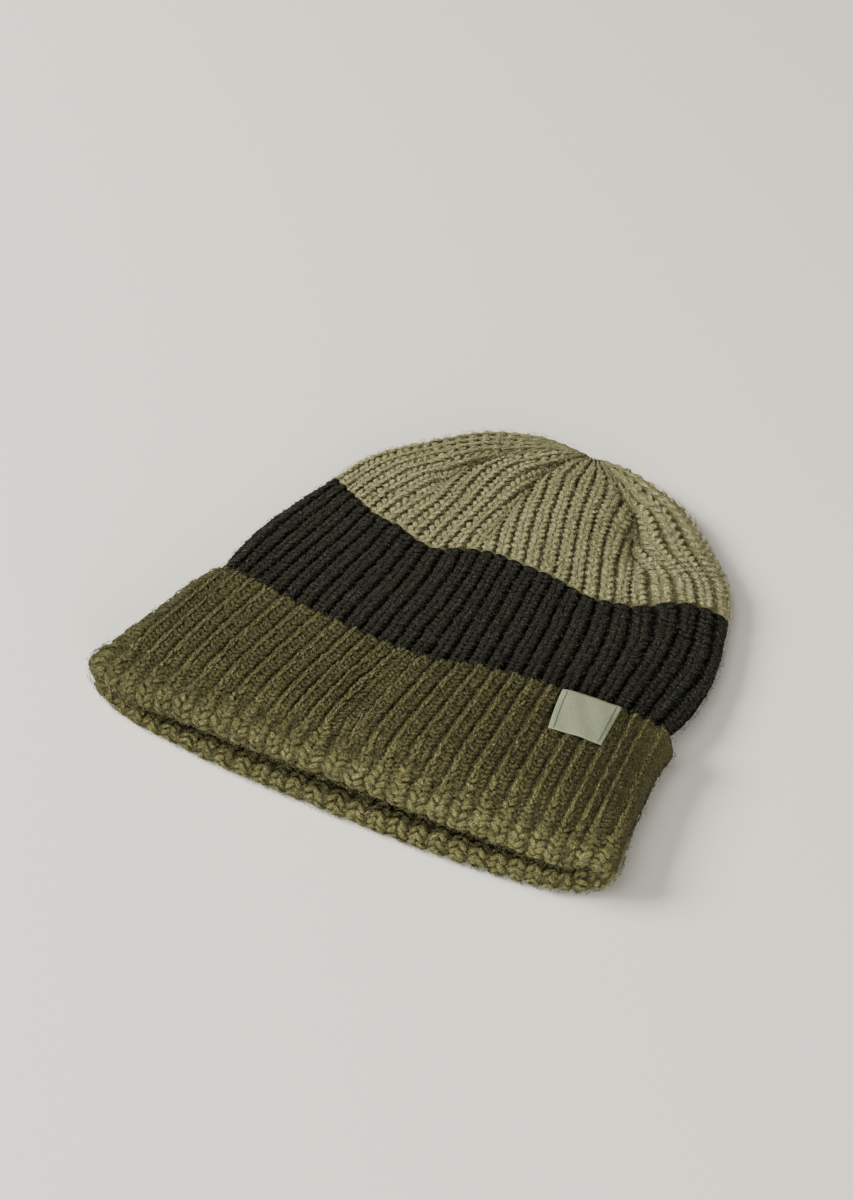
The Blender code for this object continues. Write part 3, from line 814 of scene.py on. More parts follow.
def strands(paths, normals, across, over, sides, tone, lift, rough=None):
    """Closed strands of yarn, one for each path.

    Each point of a path gets a ring of points round it, an ellipse whose half widths across the
    fabric and over it are given, and each end a pole. lift is the paths' height over the fabric,
    from which the depth of each point follows, and with it the painted shade of the deep points.
    The yarn attribute holds the place round the strand and along it, moved by its own amount on
    each strand, for the fibres' pattern.
    """
    count, rings = paths.shape[:2]
    ahead = unit(np.gradient(paths, axis=1))
    beside = unit(np.cross(ahead, normals))
    above = np.cross(beside, ahead)
    angle = np.arange(sides) * 2 * np.pi / sides
    uneven = 1.0
    if rough is not None:
        uneven = 1.0 + RING_UNEVEN * rough.normal(size=(count, rings, sides))
    ring = (
        beside[:, :, None] * (across[..., None] * np.cos(angle) * uneven)[..., None]
        + above[:, :, None] * (over[..., None] * np.sin(angle) * uneven)[..., None]
        + paths[:, :, None]
    )
    cap = across[:, [0, -1], None] * 0.5
    outwards = np.stack([-ahead[:, 0], ahead[:, -1]], 1)
    points = np.concatenate([ring.reshape(count, -1, 3), paths[:, [0, -1]] + outwards * cap], 1)
    steps = np.linalg.norm(np.diff(paths, axis=1), axis=-1)
    length = np.pad(np.cumsum(steps, axis=1), ((0, 0), (1, 0)))
    turn = together(
        across[..., None] * np.cos(angle), over[..., None] * np.sin(angle), length[..., None]
    ).reshape(count, -1, 3)
    pole = np.zeros((count, 2, 3))
    pole[..., 2] = length[:, [0, -1]]
    by_tone, by_strand = PATTERN_MOVES
    own = (tone * by_tone + np.arange(count) * by_strand)[:, None, None]
    quads = ring_quads(np.arange(rings - 1), rings, sides)[:, [0, 3, 2, 1]]
    last, first_pole = (rings - 1) * sides, rings * sides
    ends = np.concatenate([
        fan(0, sides, first_pole), fan(last, sides, first_pole + 1, turned=True)
    ])
    base = (np.arange(count) * points.shape[1])[:, None, None]
    above_it = lift[..., None] + over[..., None] * np.sin(angle)
    above_it = np.concatenate([above_it.reshape(count, -1), lift[:, [0, -1]]], axis=1)
    return as_shape(points, quads + base, ends + base, np.concatenate([turn, pole], axis=1) + own,
                    np.repeat(tone, points.shape[1]),
                    # painted shade of the points that lie deep
                    np.clip((DARK_BELOW - above_it) / DARK_SPAN, 0, 1))


def strokes(cloth, places, radius, rng, flat=0.78, taper=(0.60, 0.72), wobble=FIELD_WOBBLE,
            lighter=0.0, sides=6):
    """Short strands of yarn laid on the fabric, thick in the middle and thinner to both ends.

    places holds three points of each strand, as rib, distance along and height over the fabric,
    and the strand is the parabola through them. Where a rib is narrow its strands are thinner
    both ways by the square root of its width, and lie deeper. Those under the hat, where only
    the floor is, get fewer points.
    """
    rib, along, over = np.moveaxis(places, -1, 0)
    count = len(rib)
    share = cloth.width(rib[:, 1], along[:, 1])
    narrow = np.sqrt(np.clip(share * NARROW_EASE, NARROWEST, 1.0))
    size = radius * narrow * (1 + STRAND_UNEVEN * rng.normal(size=count))
    over = over - NARROW_SINK * (1 - share[:, None])
    moved = rng.normal(0.0, 1.0, (3, count, 1)) * np.broadcast_to(wobble, count)[:, None]
    # lighter is added to the random tone; on the cuff it carries painted light and shade
    tone = rng.normal(0.0, 1.0, count) + lighter
    under = hidden(rib[:, 1], 2.5)
    made = []
    for chosen, rings, sides in ((~under, 4, sides), (under, 3, 4)):
        if not chosen.any():
            continue
        t = np.linspace(0.0, 1.0, rings)
        basis = np.stack([(1 - t) * (1 - 2 * t), 4 * t * (1 - t), t * (2 * t - 1)])
        scales = (1 / RIM_RIB_WIDTH, 1.0, 0.8)
        path_rib, path_along, path_over = (
            values[chosen] @ basis + shift[chosen] * scale
            for values, shift, scale in zip((rib, along, over), moved, scales)
        )
        paths = cloth.lay(path_rib, path_along, path_over)
        normals = unit(paths - cloth.lay(path_rib, path_along, path_over - 0.001))
        bulk = np.interp(t, [0.0, 0.25, 0.7, 1.0], [taper[0], 0.92, 1.0, taper[1]])
        fat = size[chosen][:, None] * bulk
        high = fat * flat * narrow[chosen][:, None]
        made.append(strands(paths, normals, fat, high, sides, tone[chosen], path_over, rng))
    return joined(made)


def fibres(cloth, count, along_range, sizes, lift, seed, thicker=1.0):
    """Loose fibres on the fabric, each a thin spindle that lies almost flat and bends a little.

    Its ends lie a random way off in the fabric's plane and rise by the lift, so most fibres lie
    along the wool and a few stand up from it. Few are put where only the floor sees them.
    """
    rng = np.random.default_rng(seed)
    rib = rng.uniform(0, ALL_RIBS, count)
    along = rng.uniform(*along_range, count)
    kept_share = cloth.width(rib, along) * np.where(hidden(rib, 1.5), FIBRES_BELOW, 1.0)
    keep = rng.uniform(0, 1, count) < kept_share
    rib, along = rib[keep], along[keep]
    count = len(rib)
    way = rng.uniform(0, 2 * np.pi, count)
    curl = way + rng.normal(0, FIBRE_BEND, count)
    size = (sizes.fibre_length * rng.lognormal(0.0, FIBRE_SPREAD, count))[:, None]
    rise = np.abs(rng.normal(0.0, lift, count)) + FIBRE_RISE
    over = together(FIBRE_ROOT, rise, rise * rng.uniform(0.3, 1.9, count))
    step_rib, step_row = (together(0.0, turn(way), turn(way) + turn(curl)) * 0.5
                          for turn in (np.cos, np.sin))
    places = cloth.lay(rib[:, None] + step_rib * size / RIM_RIB_WIDTH,
                       along[:, None] + step_row * size, over)
    radius = thicker * sizes.fibre_radius * rng.uniform(0.7, 1.4, count)
    return spindles(places, radius, rng.normal(0, 1, count))


def spindles(places, radius, tone):
    """Closed three-sided strands of two triangle fans: a point, a ring in the middle, a point."""
    first, middle, last = places[:, 0], places[:, 1], places[:, 2]
    ahead = unit(last - first)
    beside = unit(np.cross(ahead, [0.0, 0.0, 1.0]))
    above = np.cross(beside, ahead)
    angle = (np.arange(3) * 2 * np.pi / 3 + np.pi / 2)[:, None]
    ring = middle[:, None] + radius[:, None, None] * (
        beside[:, None] * np.cos(angle) + above[:, None] * np.sin(angle)
    )
    points = np.concatenate([ring, first[:, None], last[:, None]], axis=1)
    fans = np.array([[0, 1, 3], [1, 2, 3], [2, 0, 3], [1, 0, 4], [2, 1, 4], [0, 2, 4]])
    fans = fans + (np.arange(len(places)) * 5)[:, None, None]
    return as_shape(points, np.zeros((0, 4), int), fans, tone=np.repeat(tone, 5))


def rib_dip(depth, rest, shift=0.0, narrow=0.0006):
    """The backing's sinking under the stitches: rest at a rib's middle, depth more at its grooves
    and up to narrow more where the rib is narrower."""
    return lambda rib, width: rest + depth * groove(rib, shift) ** 3 + narrow * (1 - width)


def backing(cloth, rows, dip, capped=False):
    """The fabric behind the stitches: a face that shows, sunk between the ribs by dip, and a back
    a thickness below it, joined at both ends. If capped, each runs together in a pole at its last
    row instead. Its yarn runs along the tube. Painted shade darkens the face where it sinks and
    the back by half."""
    rib = np.arange(ALL_RIBS * BACKING_STEPS) / BACKING_STEPS
    rib, row = np.meshgrid(rib, rows)
    sunk = dip(rib, cloth.width(rib, row))
    points = np.concatenate([
        cloth.lay(rib, row, -sunk), cloth.lay(rib, row, -BACKING_THICKNESS)[::-1]
    ])
    # Painted shade: darkest where the face sinks most, half on the back
    deep = np.append(np.clip(sunk / BACKING_DEEP, 0, 1), np.full(sunk.shape, 0.5))
    rings, sides = points.shape[:2]
    chosen, fans = np.arange(rings), np.zeros((0, 3), int)
    points = points.reshape(-1, 3)
    if capped:
        chosen = np.delete(chosen, len(rows) - 1)
        back, tip = len(rows) * sides, len(points)
        top = points[back - sides:back].mean(0) + [0, END_CAP_BULGE, 0]
        points = np.concatenate([points, [top, top - [0, BACKING_THICKNESS, 0]]])
        fans = np.append(fan(back - sides, sides, tip), fan(back, sides, tip + 1, turned=True))
        deep = np.append(deep, [0.5, 0.5])
    return as_shape(points, ring_quads(chosen, rings, sides), fans, deep=deep)


def knit_rows(start, end, first_pitch, last_pitch):
    """Where each row of stitches starts between two distances, and its height, which grows
    evenly from the first pitch to the last."""
    count = int(round((end - start) / ((first_pitch + last_pitch) / 2)))
    pitch = np.linspace(first_pitch, last_pitch, count)
    pitch *= (end - start) / pitch.sum()
    return start + np.cumsum(pitch) - pitch, pitch


def vees(ribs, rows, inner, outer, low, high, deep):
    """Three points for each of the two legs of a knit stitch on every rib and row, as an array of
    ribs by rows by legs by points by three.

    inner and outer are their first and last distance from the rib, low and high their start and
    end as a share of the row's height, deep their heights over the fabric. rows pairs each
    row's start with its height. Values may vary by row.
    """
    start, pitch = rows
    places = np.zeros((len(ribs), len(start), 2, 3, 3))
    for point, t in enumerate((0.0, 0.5, 1.0)):
        away = np.asarray(inner + (outer - inner) * t)[..., None]
        rise = (low + (high - low) * t) * pitch
        places[..., point, 0] = ribs[:, None, None] + away * np.array([-1.0, 1.0])
        places[..., point, 1] = (start + rise)[:, None]
        places[..., point, 2] = np.asarray(deep[point])[..., None]
    return places


def squared(cloth, places):
    """The stitches' points moved up or down, so that each stitch stands square to its own rib.

    A point moves by its distance from the rib times the dot product of the ways across and up
    over the square of the way up, both taken at the stitch's middle.
    """
    middle = np.floor(places[:, :1, 0]) + 0.5
    along = places[:, 1:2, 1]
    up = cloth.lay(middle, along + 0.0005, 0.0) - cloth.lay(middle, along - 0.0005, 0.0)
    side = cloth.lay(middle + 0.1, along, 0.0) - cloth.lay(middle - 0.1, along, 0.0)
    shear = 0.005 * (side * up).sum(-1) / (up * up).sum(-1)
    places[..., 1] -= (places[..., 0] - middle) * np.clip(shear, -0.006, 0.006)
    return places


def plump_stitches(cloth, rows, radius, eye, seed):
    """Knit stitches that fill each rib between its two grooves, their outer ends sunk in them.

    eye is how open the dark eye between the two legs of a stitch is, from 0 to 1. It sets them
    further apart where they start, and makes them thinner and deeper there.
    """
    places = vees(np.arange(ALL_RIBS) + 0.5, rows, 0.020 + 0.045 * eye, 0.345, -0.02, 0.66,
                  (-0.00062 - 0.00042 * eye, -0.00057, -0.00104))
    return strokes(cloth, squared(cloth, places.reshape(-1, 3, 3)), radius,
                   np.random.default_rng(seed), flat=0.48 - 0.06 * eye,
                   taper=(0.80 - 0.28 * eye, 0.84))


def on_rim(along):
    """How much of the rolled rim's shape the cuff's stitches have, from 1 on it to 0 above it."""
    return 1.0 - ease(along, *RIM_SHAPE)


def straying(along):
    """How far the cuff's strands stray from their even places, furthest on the rolled rim."""
    return RIM_WOBBLE * on_rim(along) * (1 - ease(-along, 0.001, 0.004))


def rim_tone_and_painted_light(rib, along):
    """How much lighter the strands are towards the rim, more so to the right and less so on the
    lower panel: the rim's lighter yarn together with painted light from the front, less on the
    lower panel for the painted shade under the upper roll. Inside the mouth, where the rolls of
    the panels face each other, painted shade makes them darker."""
    rib = np.mod(rib, ALL_RIBS)
    share = np.minimum(rib, ALL_RIBS - rib) / RIBS_PER_PANEL
    inside = ease(-along, *SHADE_START)
    # The rim's lighter yarn and painted light from the front, growing to the right
    lighter_and_lit = RIM_LIGHT * (RIM_LIGHT_LEFT + RIM_LIGHT_RIGHT * share) * (1.0 - ease(along, *RIM_FADE))
    # Less painted light on the lower panel, which lies in the upper roll's shade
    lighter_and_lit = lighter_and_lit * np.where(rib > RIBS_PER_PANEL, LOWER_LIGHT, 1.0)
    # Painted shade inside the mouth
    return lighter_and_lit * (1.0 - inside) - MOUTH_SHADE * inside


def cuff_ridges(rows, rng):
    """The thin ridges of the knit's reverse side, an upright pair of legs for each row. On the
    rim they are wider and fatter, lie lower and further to the right. The seam's lies lower."""
    start = rows[0]
    rim = on_rim(start)
    plain, added = RIDGE_HEIGHTS[..., None]
    deep = plain + added * rim + MOUTH_SWELL * ease(-start, *SWELL_START)
    ribs = np.arange(ALL_RIBS).astype(float)
    (inner, outer), (inner_more, outer_more) = RIDGE_LEGS
    places = vees(ribs + RIDGE_SHIFT, rows, inner + inner_more * rim, outer + outer_more * rim,
                  -0.15, RIDGE_END[0] + RIDGE_END[1] * rim, deep)
    places[..., 0] += RIM_SHIFT * rim[:, None, None]
    places[SEAM_RIB, ..., 2] -= SEAM_SINK
    places = places.reshape(-1, 3, 3)
    radius = np.tile(np.repeat(RIDGE_RADIUS[0] + RIDGE_RADIUS[1] * rim, 2), ALL_RIBS)
    # Ridges are lighter by a painted highlight, near the rim by its lighter yarn and painted
    # light; painted shade darkens them in the mouth
    lighter = np.repeat((RIDGE_LIGHT + rim_tone_and_painted_light(ribs[:, None], start)).ravel(), 2)
    return strokes(cuff_cloth, places, radius, rng, flat=0.48, taper=(0.84, 0.78),
                   wobble=RIDGE_WOBBLE + straying(places[:, 1, 1]), lighter=lighter, sides=5)


def field_stitches(ribs, rows, width=1.0):
    """Three points for each of the two strands of every row of the fields between the ridges.

    The first strand falls from beside the ridge to the middle of the field, the second rises
    from there and sinks into the groove before the next ridge. Towards the rim both move into
    the groove and lie lower. width is the field's width as a share of a plain one's.
    """
    start, pitch = (values[:, None, None] for values in rows)
    rim = on_rim(start)
    away, rise, over = np.moveaxis(FIELD_STRANDS, -1, 0)
    near = FIELD_ON_RIM + (away - 0.47) * FIELD_SPREAD
    across = ribs[:, None, None, None] + width * (away + (near - away) * rim)
    places = together(across, start + rise * pitch, over + (FIELD_SINK - over) * rim)
    return places.reshape(-1, 3, 3)


def cuff_fields(rows, rng):
    """The purl rows between the ridges. The field before the seam's ridge is two narrow ones."""
    places = np.concatenate([
        field_stitches(np.delete(np.arange(ALL_RIBS), SEAM_RIB - 1), rows),
        field_stitches(SEAM_RIB - np.array([1.0, 0.46]), rows, SEAM_FIELD),
    ])
    # Fields are darker by painted shade, lighter near the rim by its lighter yarn and painted
    # light, and darker in the mouth by painted shade
    lighter = FIELD_LIGHT + rim_tone_and_painted_light(places[:, 1, 0], places[:, 1, 1])
    places[..., 2] += MOUTH_SWELL * ease(-places[..., 1], *SWELL_START)
    return strokes(cuff_cloth, places, FIELD_RADIUS, rng, flat=0.70,
                   wobble=FIELD_WOBBLE + straying(places[:, 1, 1]), lighter=lighter, sides=5)


def cuff_seam(rows, rng):
    """The short slanting stitches of the seam up the cuff, from just above the rim."""
    start, pitch = (values[rows[0] > 0.004][:, None] for values in rows)
    away, rise, over = SEAM_STRAND.T
    places = together(SEAM_RIB - 1 + away, start + rise * pitch, over)
    return strokes(cuff_cloth, places, SEAM_RADIUS, rng)


def on_tape(across, down, offset):
    """Points of the label's tape from shares of its width and of its height below its fold.

    Its lower left corner is drawn in, its face waves a little by two sines and its sides curl
    down. Its end behind the cuff lies flat.
    """
    lean = CORNER_LEAN * (1 - across) * np.maximum(down, 0.0) ** 1.5
    wave = TAPE_WAVES[0] * np.sin(7.0 * across + 4.0 * down)
    wave = wave + TAPE_WAVES[1] * np.sin(13.0 * across - 6.0 * down)
    curl = TAPE_CURL * np.abs(2 * across - 1) ** 6
    rib = LABEL_RIBS[1] - (LABEL_WIDTH * (1 - across) - lean) / LABEL_PITCH
    height = CUFF_DEPTH - LABEL_SINK - down * LABEL_HEIGHT
    return fabric.lay(rib, height, offset + (wave - curl) * (offset > LABEL_UNDER - 0.001))


def label_tape(over, behind):
    """The tape: its section, a loop up its underside, round the fold and down its face, carried
    across its width. over is the height of its face, behind that of its end behind the cuff."""
    down = np.linspace(1.0, 0.0, 24)
    section = [(share, LABEL_UNDER) for share in down]
    section += [(0.0, behind), (-0.03, behind), (-0.045, over - 0.0003)]
    section += [(share, over) for share in down[::-1]]
    downs, offsets = np.array(section).T
    across = np.linspace(0.0, 1.0, 40)[:, None]
    points = on_tape(across, downs, offsets)
    columns, loop = points.shape[:2]
    far_side = (columns - 1) * loop
    i = np.arange(len(down) - 1)
    side = together(loop - 1 - i, loop - 2 - i, i + 1, i)
    tops = len(down) - 1 + np.array([[4, 1, 0], [4, 3, 1], [3, 2, 1]])
    quads = ring_quads(np.arange(columns - 1), columns, loop)
    yarn = together(across * LABEL_WIDTH, 0.3 * downs * LABEL_HEIGHT, 0.0)
    return as_shape(points, np.concatenate([quads, side, side[:, ::-1] + far_side]),
                    np.concatenate([tops, tops[:, ::-1] + far_side]), yarn)


def label_threads(over, radius):
    """The two dark threads that run down the tape's face, just inside its sides."""
    side = np.array([THREAD_INSET, LABEL_WIDTH - THREAD_INSET])[:, None] / LABEL_WIDTH
    down = np.linspace(0.02, 0.985, 60)[None]
    paths = on_tape(side, down, over + THREAD_LIFT)
    normals = unit(on_tape(side, down, over + THREAD_LIFT + 0.001) - paths)
    width = np.full(paths.shape[:2], radius)
    return strands(paths, normals, width, 0.7 * width, 6, np.zeros(2), np.zeros(width.shape))


def feed(item, inputs):
    """Gives each of a node's inputs its value, or links it to another node's output."""
    for key, value in inputs.items():
        if isinstance(value, bpy.types.NodeSocket):
            item.id_data.links.new(value, item.inputs[key])
        else:
            item.inputs[key].default_value = value


def node(tree, kind, inputs, **settings):
    """The outputs of a new node. The nodes of a tree stand in rows of six, in their order."""
    row, place = divmod(len(tree.nodes), 6)
    item = tree.nodes.new(kind)
    item.location = (220 * place, -280 * row)
    for key, value in settings.items():
        setattr(item, key, value)
    feed(item, inputs)
    return item.outputs


def yarn_group():
    """Node group: the colour and relief of spun wool.

    Fibres are noise stretched along the yarn. The colour is the yarn's own, lighter or darker by
    the fibres, by the strand's tone, which on the cuff also carries painted light and shade, and
    by soft patches, and darker by painted shade where the fabric is deep.
    """
    group = bpy.data.node_groups.new("spun_wool", "ShaderNodeTree")
    for name, way, kind in (
        ("Colour", "INPUT", "Color"), ("Fleck Colour", "INPUT", "Color"),
        ("Fleck", "INPUT", "Float"), ("Strand Tone", "INPUT", "Float"),
        ("Patch", "INPUT", "Float"), ("Depth Shade", "INPUT", "Float"),
        ("Colour", "OUTPUT", "Color"), ("Relief", "OUTPUT", "Float"),
    ):
        group.interface.new_socket(name, in_out=way, socket_type="NodeSocket" + kind)

    def fact(name):
        return node(group, "ShaderNodeAttribute", {}, attribute_name=name)

    def maths(operation, one, other):
        return node(group, "ShaderNodeMath", {0: one, 1: other}, operation=operation)[0]

    def spread(value, *ends):
        """A value taken from between the first two ends to between the last two."""
        inputs = zip(("Value", "From Min", "From Max", "To Min", "To Max"), (value, *ends))
        return node(group, "ShaderNodeMapRange", dict(inputs), clamp=True)[0]

    def noise(vector, scale, detail, roughness, low, high):
        """Noise, stretched from its usual middle range to between minus one and one."""
        inputs = {"Vector": vector, "Scale": scale, "Detail": detail, "Roughness": roughness}
        return spread(node(group, "ShaderNodeTexNoise", inputs)["Fac"], low, high, -1.0, 1.0)

    given = node(group, "NodeGroupInput", {})
    place = node(group, "ShaderNodeTexCoord", {})["Object"]
    stretched = {0: fact("yarn")["Vector"], 1: FIBRE_STRETCH}
    stretched = node(group, "ShaderNodeVectorMath", stretched, operation="MULTIPLY")[0]
    both = maths("ADD", noise(stretched, *FIBRE_NOISE), noise(place, *FLECK_NOISE))
    flecked = maths("MULTIPLY", both, given["Fleck"])
    toned = maths("MULTIPLY", fact("tone")["Fac"], given["Strand Tone"])
    patched = maths("MULTIPLY", noise(place, *PATCH_NOISE), given["Patch"])
    light = maths("ADD", 1.0, maths("ADD", maths("ADD", flecked, toned), patched))
    # Painted shade: darker where the fabric lies deep
    shade = maths("MULTIPLY", fact("deep")["Fac"], given["Depth Shade"])
    factor = maths("MULTIPLY", maths("MAXIMUM", light, LEAST_LIGHT), maths("SUBTRACT", 1.0, shade))
    blend = {"Factor": spread(both, 0.35, 1.5, 0.0, 1.0),
             "A": given["Colour"], "B": given["Fleck Colour"]}
    blend = {0: node(group, "ShaderNodeMix", blend, data_type="RGBA")["Result"], "Scale": factor}
    final = node(group, "ShaderNodeVectorMath", blend, operation="SCALE")[0]
    node(group, "NodeGroupOutput", {"Colour": final, "Relief": both})
    return group


def new_material(name):
    """A material and the node that is its surface."""
    material = bpy.data.materials.new(name)
    material.use_nodes = True
    return material, material.node_tree.nodes["Principled BSDF"]


# deep sets how far painted shade darkens the fabric's deep places; tone scales the strands' tones,
# which on the cuff carry painted light and shade
def wool(name, colour, light, fleck, tone=0.08, patch=0.10, deep=0.80, bump=1.0):
    """Wool as a material: the spun wool group on a rough, softly sheened surface."""
    material, surface = new_material(name)
    group = bpy.data.node_groups.get("spun_wool") or yarn_group()
    spun = node(material.node_tree, "ShaderNodeGroup", {
        "Colour": (*colour, 1.0), "Fleck Colour": (*light, 1.0), "Fleck": fleck,
        "Strand Tone": tone, "Patch": patch, "Depth Shade": deep,
    }, node_tree=group)
    relief = {"Strength": bump, "Distance": 0.0005, "Height": spun["Relief"]}
    feed(surface, {
        "Base Color": spun["Colour"], "Roughness": 0.92, "Specular IOR Level": 0.15,
        "Sheen Weight": 0.12, "Sheen Tint": (*light, 1.0), "Sheen Roughness": 0.6,
        "Normal": node(material.node_tree, "ShaderNodeBump", relief)["Normal"],
    })
    return material


def part_wools(part, colours, fleck, deep):
    """A part's two materials: its yarn, and its loose fibres in the light colour alone."""
    light = getattr(colours, part + "_fleck")
    return (wool(part + "_wool", getattr(colours, part), light, fleck, deep=deep),
            wool(part + "_fibre", light, light, 0.1, tone=0.25))


def tint(name, default, about):
    """A colour that a user may change."""
    return bpy.props.FloatVectorProperty(
        name=name, description=about, default=default, subtype="COLOR", size=3, min=0.0, max=1.0
    )


def size(name, default, about):
    """A length that a user may change."""
    return bpy.props.FloatProperty(
        name=name, description=about, default=default, unit="LENGTH", precision=5, min=0.0
    )


class BeanieSizes(bpy.types.PropertyGroup):
    """Sizes of the stitches and of the wool."""

    crown_pitch: size("Crown Stitch", 0.0021, "Height of a stitch of the crown")
    band_pitch: size("Band Stitch", 0.0023, "Height of a stitch of the band")
    cuff_pitch: size("Cuff Stitch", 0.0020, "Height of a stitch of the cuff")
    yarn_radius: size("Yarn Radius", 0.00122, "Half the thickness of the yarn at its fattest")
    label_thickness: size("Label Thickness", 0.0006, "Thickness of the label's tape")
    thread_radius: size("Thread Radius", 0.00018, "Half the thickness of the label's dark thread")
    fibre_length: size("Fibre Length", 0.0015, "Middle length of the loose fibres")
    fibre_radius: size("Fibre Radius", 0.000065, "Half the thickness of a loose fibre")


class BeanieColours(bpy.types.PropertyGroup):
    """Colours of the yarns, of the label and of the studio."""

    crown: tint("Crown", (0.45, 0.425, 0.205), "Sand yarn of the crown")
    crown_fleck: tint("Crown Fleck", (0.66, 0.63, 0.36), "Light fibres in the crown's yarn")
    band: tint("Band", (0.0190, 0.0192, 0.0115), "Charcoal yarn of the band")
    band_fleck: tint("Band Fleck", (0.092, 0.095, 0.070), "Light fibres in the band's yarn")
    cuff: tint("Cuff", (0.093, 0.088, 0.032), "Olive yarn of the cuff")
    cuff_fleck: tint("Cuff Fleck", (0.205, 0.196, 0.100), "Light fibres in the cuff's yarn")
    label: tint("Label", (0.18, 0.203, 0.129), "Woven tape of the label")
    thread: tint("Label Thread", (0.09, 0.095, 0.07), "Dark thread along the label's sides")
    floor: tint("Floor", (0.66, 0.645, 0.585), "Paper that the hat lies on")


class BeanieOperator:
    """What every operator of the beanie shares."""

    bl_options = {"REGISTER", "UNDO"}


def build_plain_knit(context, part, rows, dips, stitched, growth, eye, haired, hairs, seed,
                     fleck, deep, capped=False):
    """A part of plump knit stitches: its backing, its stitches and its loose fibres.

    rows are the rows of its backing and dips that backing's sinking, stitched and haired the
    stretches of its stitches and fibres, growth how much taller its last stitch is than its
    first, hairs the count of its fibres before those on narrow ribs are left out, and deep how
    far painted shade darkens its deep places.
    """
    sizes = context.scene.beanie_sizes
    yarn, loose = part_wools(part, context.scene.beanie_colours, fleck, deep)
    put(part, "backing", backing(hat_cloth, rows, rib_dip(*dips), capped), yarn)
    pitch = getattr(sizes, part + "_pitch")
    stitch_rows = knit_rows(*stitched, pitch, growth * pitch)
    stitches = plump_stitches(hat_cloth, stitch_rows, sizes.yarn_radius, eye, seed)
    put(part, "stitches", stitches, yarn)
    put(part, "fibres", fibres(hat_cloth, hairs, haired, sizes, 0.00032, seed + 1), loose)


class BEANIE_OT_crown(BeanieOperator, bpy.types.Operator):
    """Builds the sand-coloured crown: its backing, its stitches and its loose fibres"""

    bl_idname = "beanie.crown"
    bl_label = "Crown"

    def execute(self, context):
        start = COLOUR_LINE + CLEARANCE / 2
        build_plain_knit(
            context, "crown", np.linspace(start, TOP, 40), (0.0015, 0.0009), seed=11,
            stitched=(start + 0.0006, TOP - 0.0012), growth=1.3, eye=1.0,
            haired=(start, TOP - 0.003), hairs=19000, fleck=0.56, deep=0.60, capped=True,
        )
        return {"FINISHED"}


class BEANIE_OT_band(BeanieOperator, bpy.types.Operator):
    """Builds the charcoal band: its backing, its stitches and its loose fibres"""

    bl_idname = "beanie.band"
    bl_label = "Band"

    def execute(self, context):
        start, end = CUFF_DEPTH - BAND_TUCK + CLEARANCE / 2, COLOUR_LINE - CLEARANCE / 2
        build_plain_knit(
            context, "band", np.linspace(start, end, 32), (0.0014, 0.0010), seed=21,
            stitched=(CUFF_DEPTH - 0.004, end - 0.0004), growth=1.0, eye=0.3,
            haired=(CUFF_DEPTH, end), hairs=18000, fleck=0.50, deep=0.88,
        )
        return {"FINISHED"}


class BEANIE_OT_cuff(BeanieOperator, bpy.types.Operator):
    """Builds the olive cuff: its two layers and rolled rim, its ridges, purl rows and fibres"""

    bl_idname = "beanie.cuff"
    bl_label = "Cuff"

    def execute(self, context):
        sizes = context.scene.beanie_sizes
        # 0.36 is how far painted shade darkens the cuff's deep places
        yarn, loose = part_wools("cuff", context.scene.beanie_colours, 0.50, 0.36)
        joint = cuff_cloth.at_height(CUFF_DEPTH - BAND_TUCK - CLEARANCE / 2)
        edge = cuff_cloth.at_height(CUFF_DEPTH)
        roll = 2 * cuff_cloth.RADIUS
        inner, outer = np.linspace(-joint, -roll, 14), np.linspace(roll, edge, 32)
        lines = np.concatenate([inner, np.linspace(-roll, roll, 13)[1:-1], outer])
        dip = rib_dip(0.0005, 0.0009, CUFF_GROOVE, 0.0)
        put("cuff", "backing", backing(cuff_cloth, lines, dip), yarn)
        rows = knit_rows(-0.0200, edge - 0.0010, sizes.cuff_pitch, sizes.cuff_pitch)
        rng = np.random.default_rng(31)
        put("cuff", "ridges", cuff_ridges(rows, rng), yarn)
        put("cuff", "fields", cuff_fields(rows, rng), yarn)
        put("cuff", "seam", cuff_seam(rows, rng), yarn)
        put("cuff", "fibres", joined([
            fibres(cuff_cloth, 17000, (-0.012, edge), sizes, 0.00036, 33),
            fibres(cuff_cloth, 16000, (-0.012, 0.018), sizes, 0.00044, 34, thicker=1.45),
        ]), loose)
        return {"FINISHED"}


class BEANIE_OT_label(BeanieOperator, bpy.types.Operator):
    """Builds the bare woven label, folded over the cuff's edge"""

    bl_idname = "beanie.label"
    bl_label = "Label"

    def execute(self, context):
        sizes, colours = context.scene.beanie_sizes, context.scene.beanie_colours
        over = LABEL_UNDER + sizes.label_thickness
        behind = KNIT_THICKNESS / 2 + LAYER_GAP
        weave = wool("label_weave", colours.label, colours.label, 0.10, 0.0, 0.05, 0.0, 0.25)
        tape = put("label", "tape", label_tape(over, behind), weave)
        dark = wool("label_thread", colours.thread, colours.thread, 0.2, 0.0, 0.0, 0.0, 0.3)
        threads = label_threads(over, sizes.thread_radius)
        threads = put("label", "threads", threads, dark)
        return {"FINISHED"}


def stand(data, azimuth, elevation, distance, target=(0.0, 0.0, 0.0)):
    """A lamp or camera at a turn from the front and a height, both in radians, and a distance
    from its target, which it looks at."""
    item = bpy.data.objects.new(data.name, data)
    bpy.context.scene.collection.objects.link(item)
    level = np.cos(elevation)
    look = np.array([np.sin(azimuth) * level, -np.cos(azimuth) * level, np.sin(elevation)])
    item.location = np.array(target) + distance * look
    item.rotation_euler = (np.pi / 2 - elevation, 0.0, azimuth)
    return item


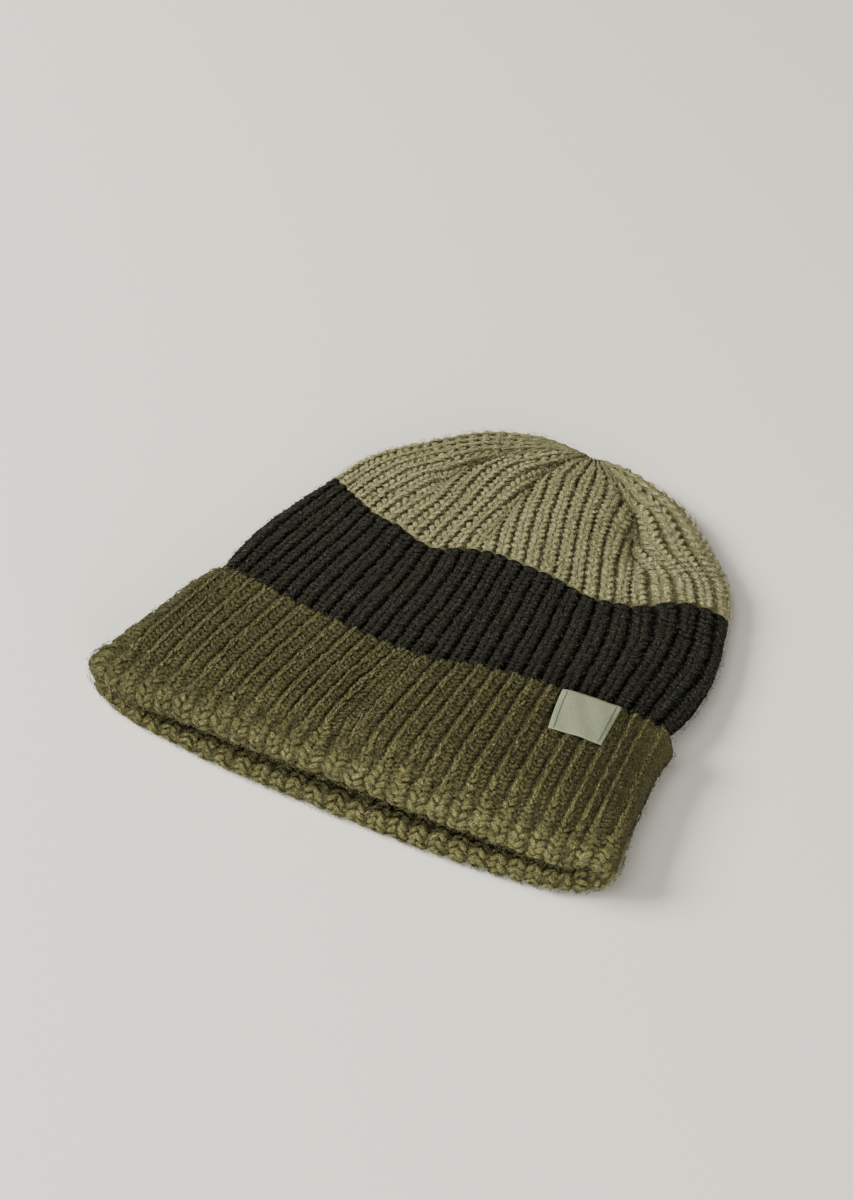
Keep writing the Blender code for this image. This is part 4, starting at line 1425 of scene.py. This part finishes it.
class BEANIE_OT_studio(BeanieOperator, bpy.types.Operator):
    """Builds the pale floor, the soft lights and the camera"""

    bl_idname = "beanie.studio"
    bl_label = "Studio"

    def execute(self, context):
        corners = [(-1, -1), (1, -1), (1, 1), (-1, 1)]
        points = np.pad(FLOOR_HALF * np.array(corners), ((0, 0), (0, 1)))
        paper, surface = new_material("floor_paper")
        colour = context.scene.beanie_colours.floor
        feed(surface, {"Base Color": (*colour, 1.0), "Roughness": 0.9})
        floor = put_mesh("floor", paper, points - [0, 0, FLOOR_SINK],
                         np.array([[0, 1, 2, 3]]), np.zeros((0, 3), int))
        lens = bpy.data.cameras.new("camera")
        lens.lens = LENS_MM
        lens.sensor_width = SENSOR_MM
        context.scene.camera = stand(
            lens, CAMERA_AZIMUTH, CAMERA_ELEVATION, CAMERA_DISTANCE, CAMERA_TARGET)
        for name, azimuth, elevation, distance, power, width, colour in LAMPS:
            lamp = bpy.data.lights.new(name, "AREA")
            lamp.energy = power
            lamp.size = width
            lamp.color = colour
            stand(lamp, CAMERA_AZIMUTH + np.radians(azimuth), np.radians(elevation), distance)
        world = bpy.data.worlds.new("studio")
        world.use_nodes = True
        feed(world.node_tree.nodes["Background"], {"Color": SKY_COLOUR, "Strength": SKY_STRENGTH})
        context.scene.world = world
        return {"FINISHED"}


class BEANIE_PT_panel(bpy.types.Panel):
    """Lists the beanie's operators, sizes and colours"""

    bl_idname = "BEANIE_PT_panel"
    bl_label = "Knitted Beanie"
    bl_space_type = "VIEW_3D"
    bl_region_type = "UI"
    bl_category = "Beanie"

    def draw(self, context):
        for operator in OPERATORS:
            self.layout.operator(operator.bl_idname)
        for group in (context.scene.beanie_sizes, context.scene.beanie_colours):
            column = self.layout.column()
            for key in group.__annotations__:
                column.prop(group, key)


OPERATORS = (BEANIE_OT_studio, BEANIE_OT_crown, BEANIE_OT_band, BEANIE_OT_cuff, BEANIE_OT_label)
CLASSES = (BeanieSizes, BeanieColours, *OPERATORS, BEANIE_PT_panel)


def register():
    for kind in CLASSES:
        bpy.utils.register_class(kind)
    bpy.types.Scene.beanie_sizes = bpy.props.PointerProperty(type=BeanieSizes)
    bpy.types.Scene.beanie_colours = bpy.props.PointerProperty(type=BeanieColours)


def unregister():
    del bpy.types.Scene.beanie_colours
    del bpy.types.Scene.beanie_sizes
    for kind in reversed(CLASSES):
        bpy.utils.unregister_class(kind)


def main():
    register()
    bpy.ops.beanie.studio()
    bpy.ops.beanie.crown()
    bpy.ops.beanie.band()
    bpy.ops.beanie.cuff()
    bpy.ops.beanie.label()


if __name__ == "__main__":
    main()
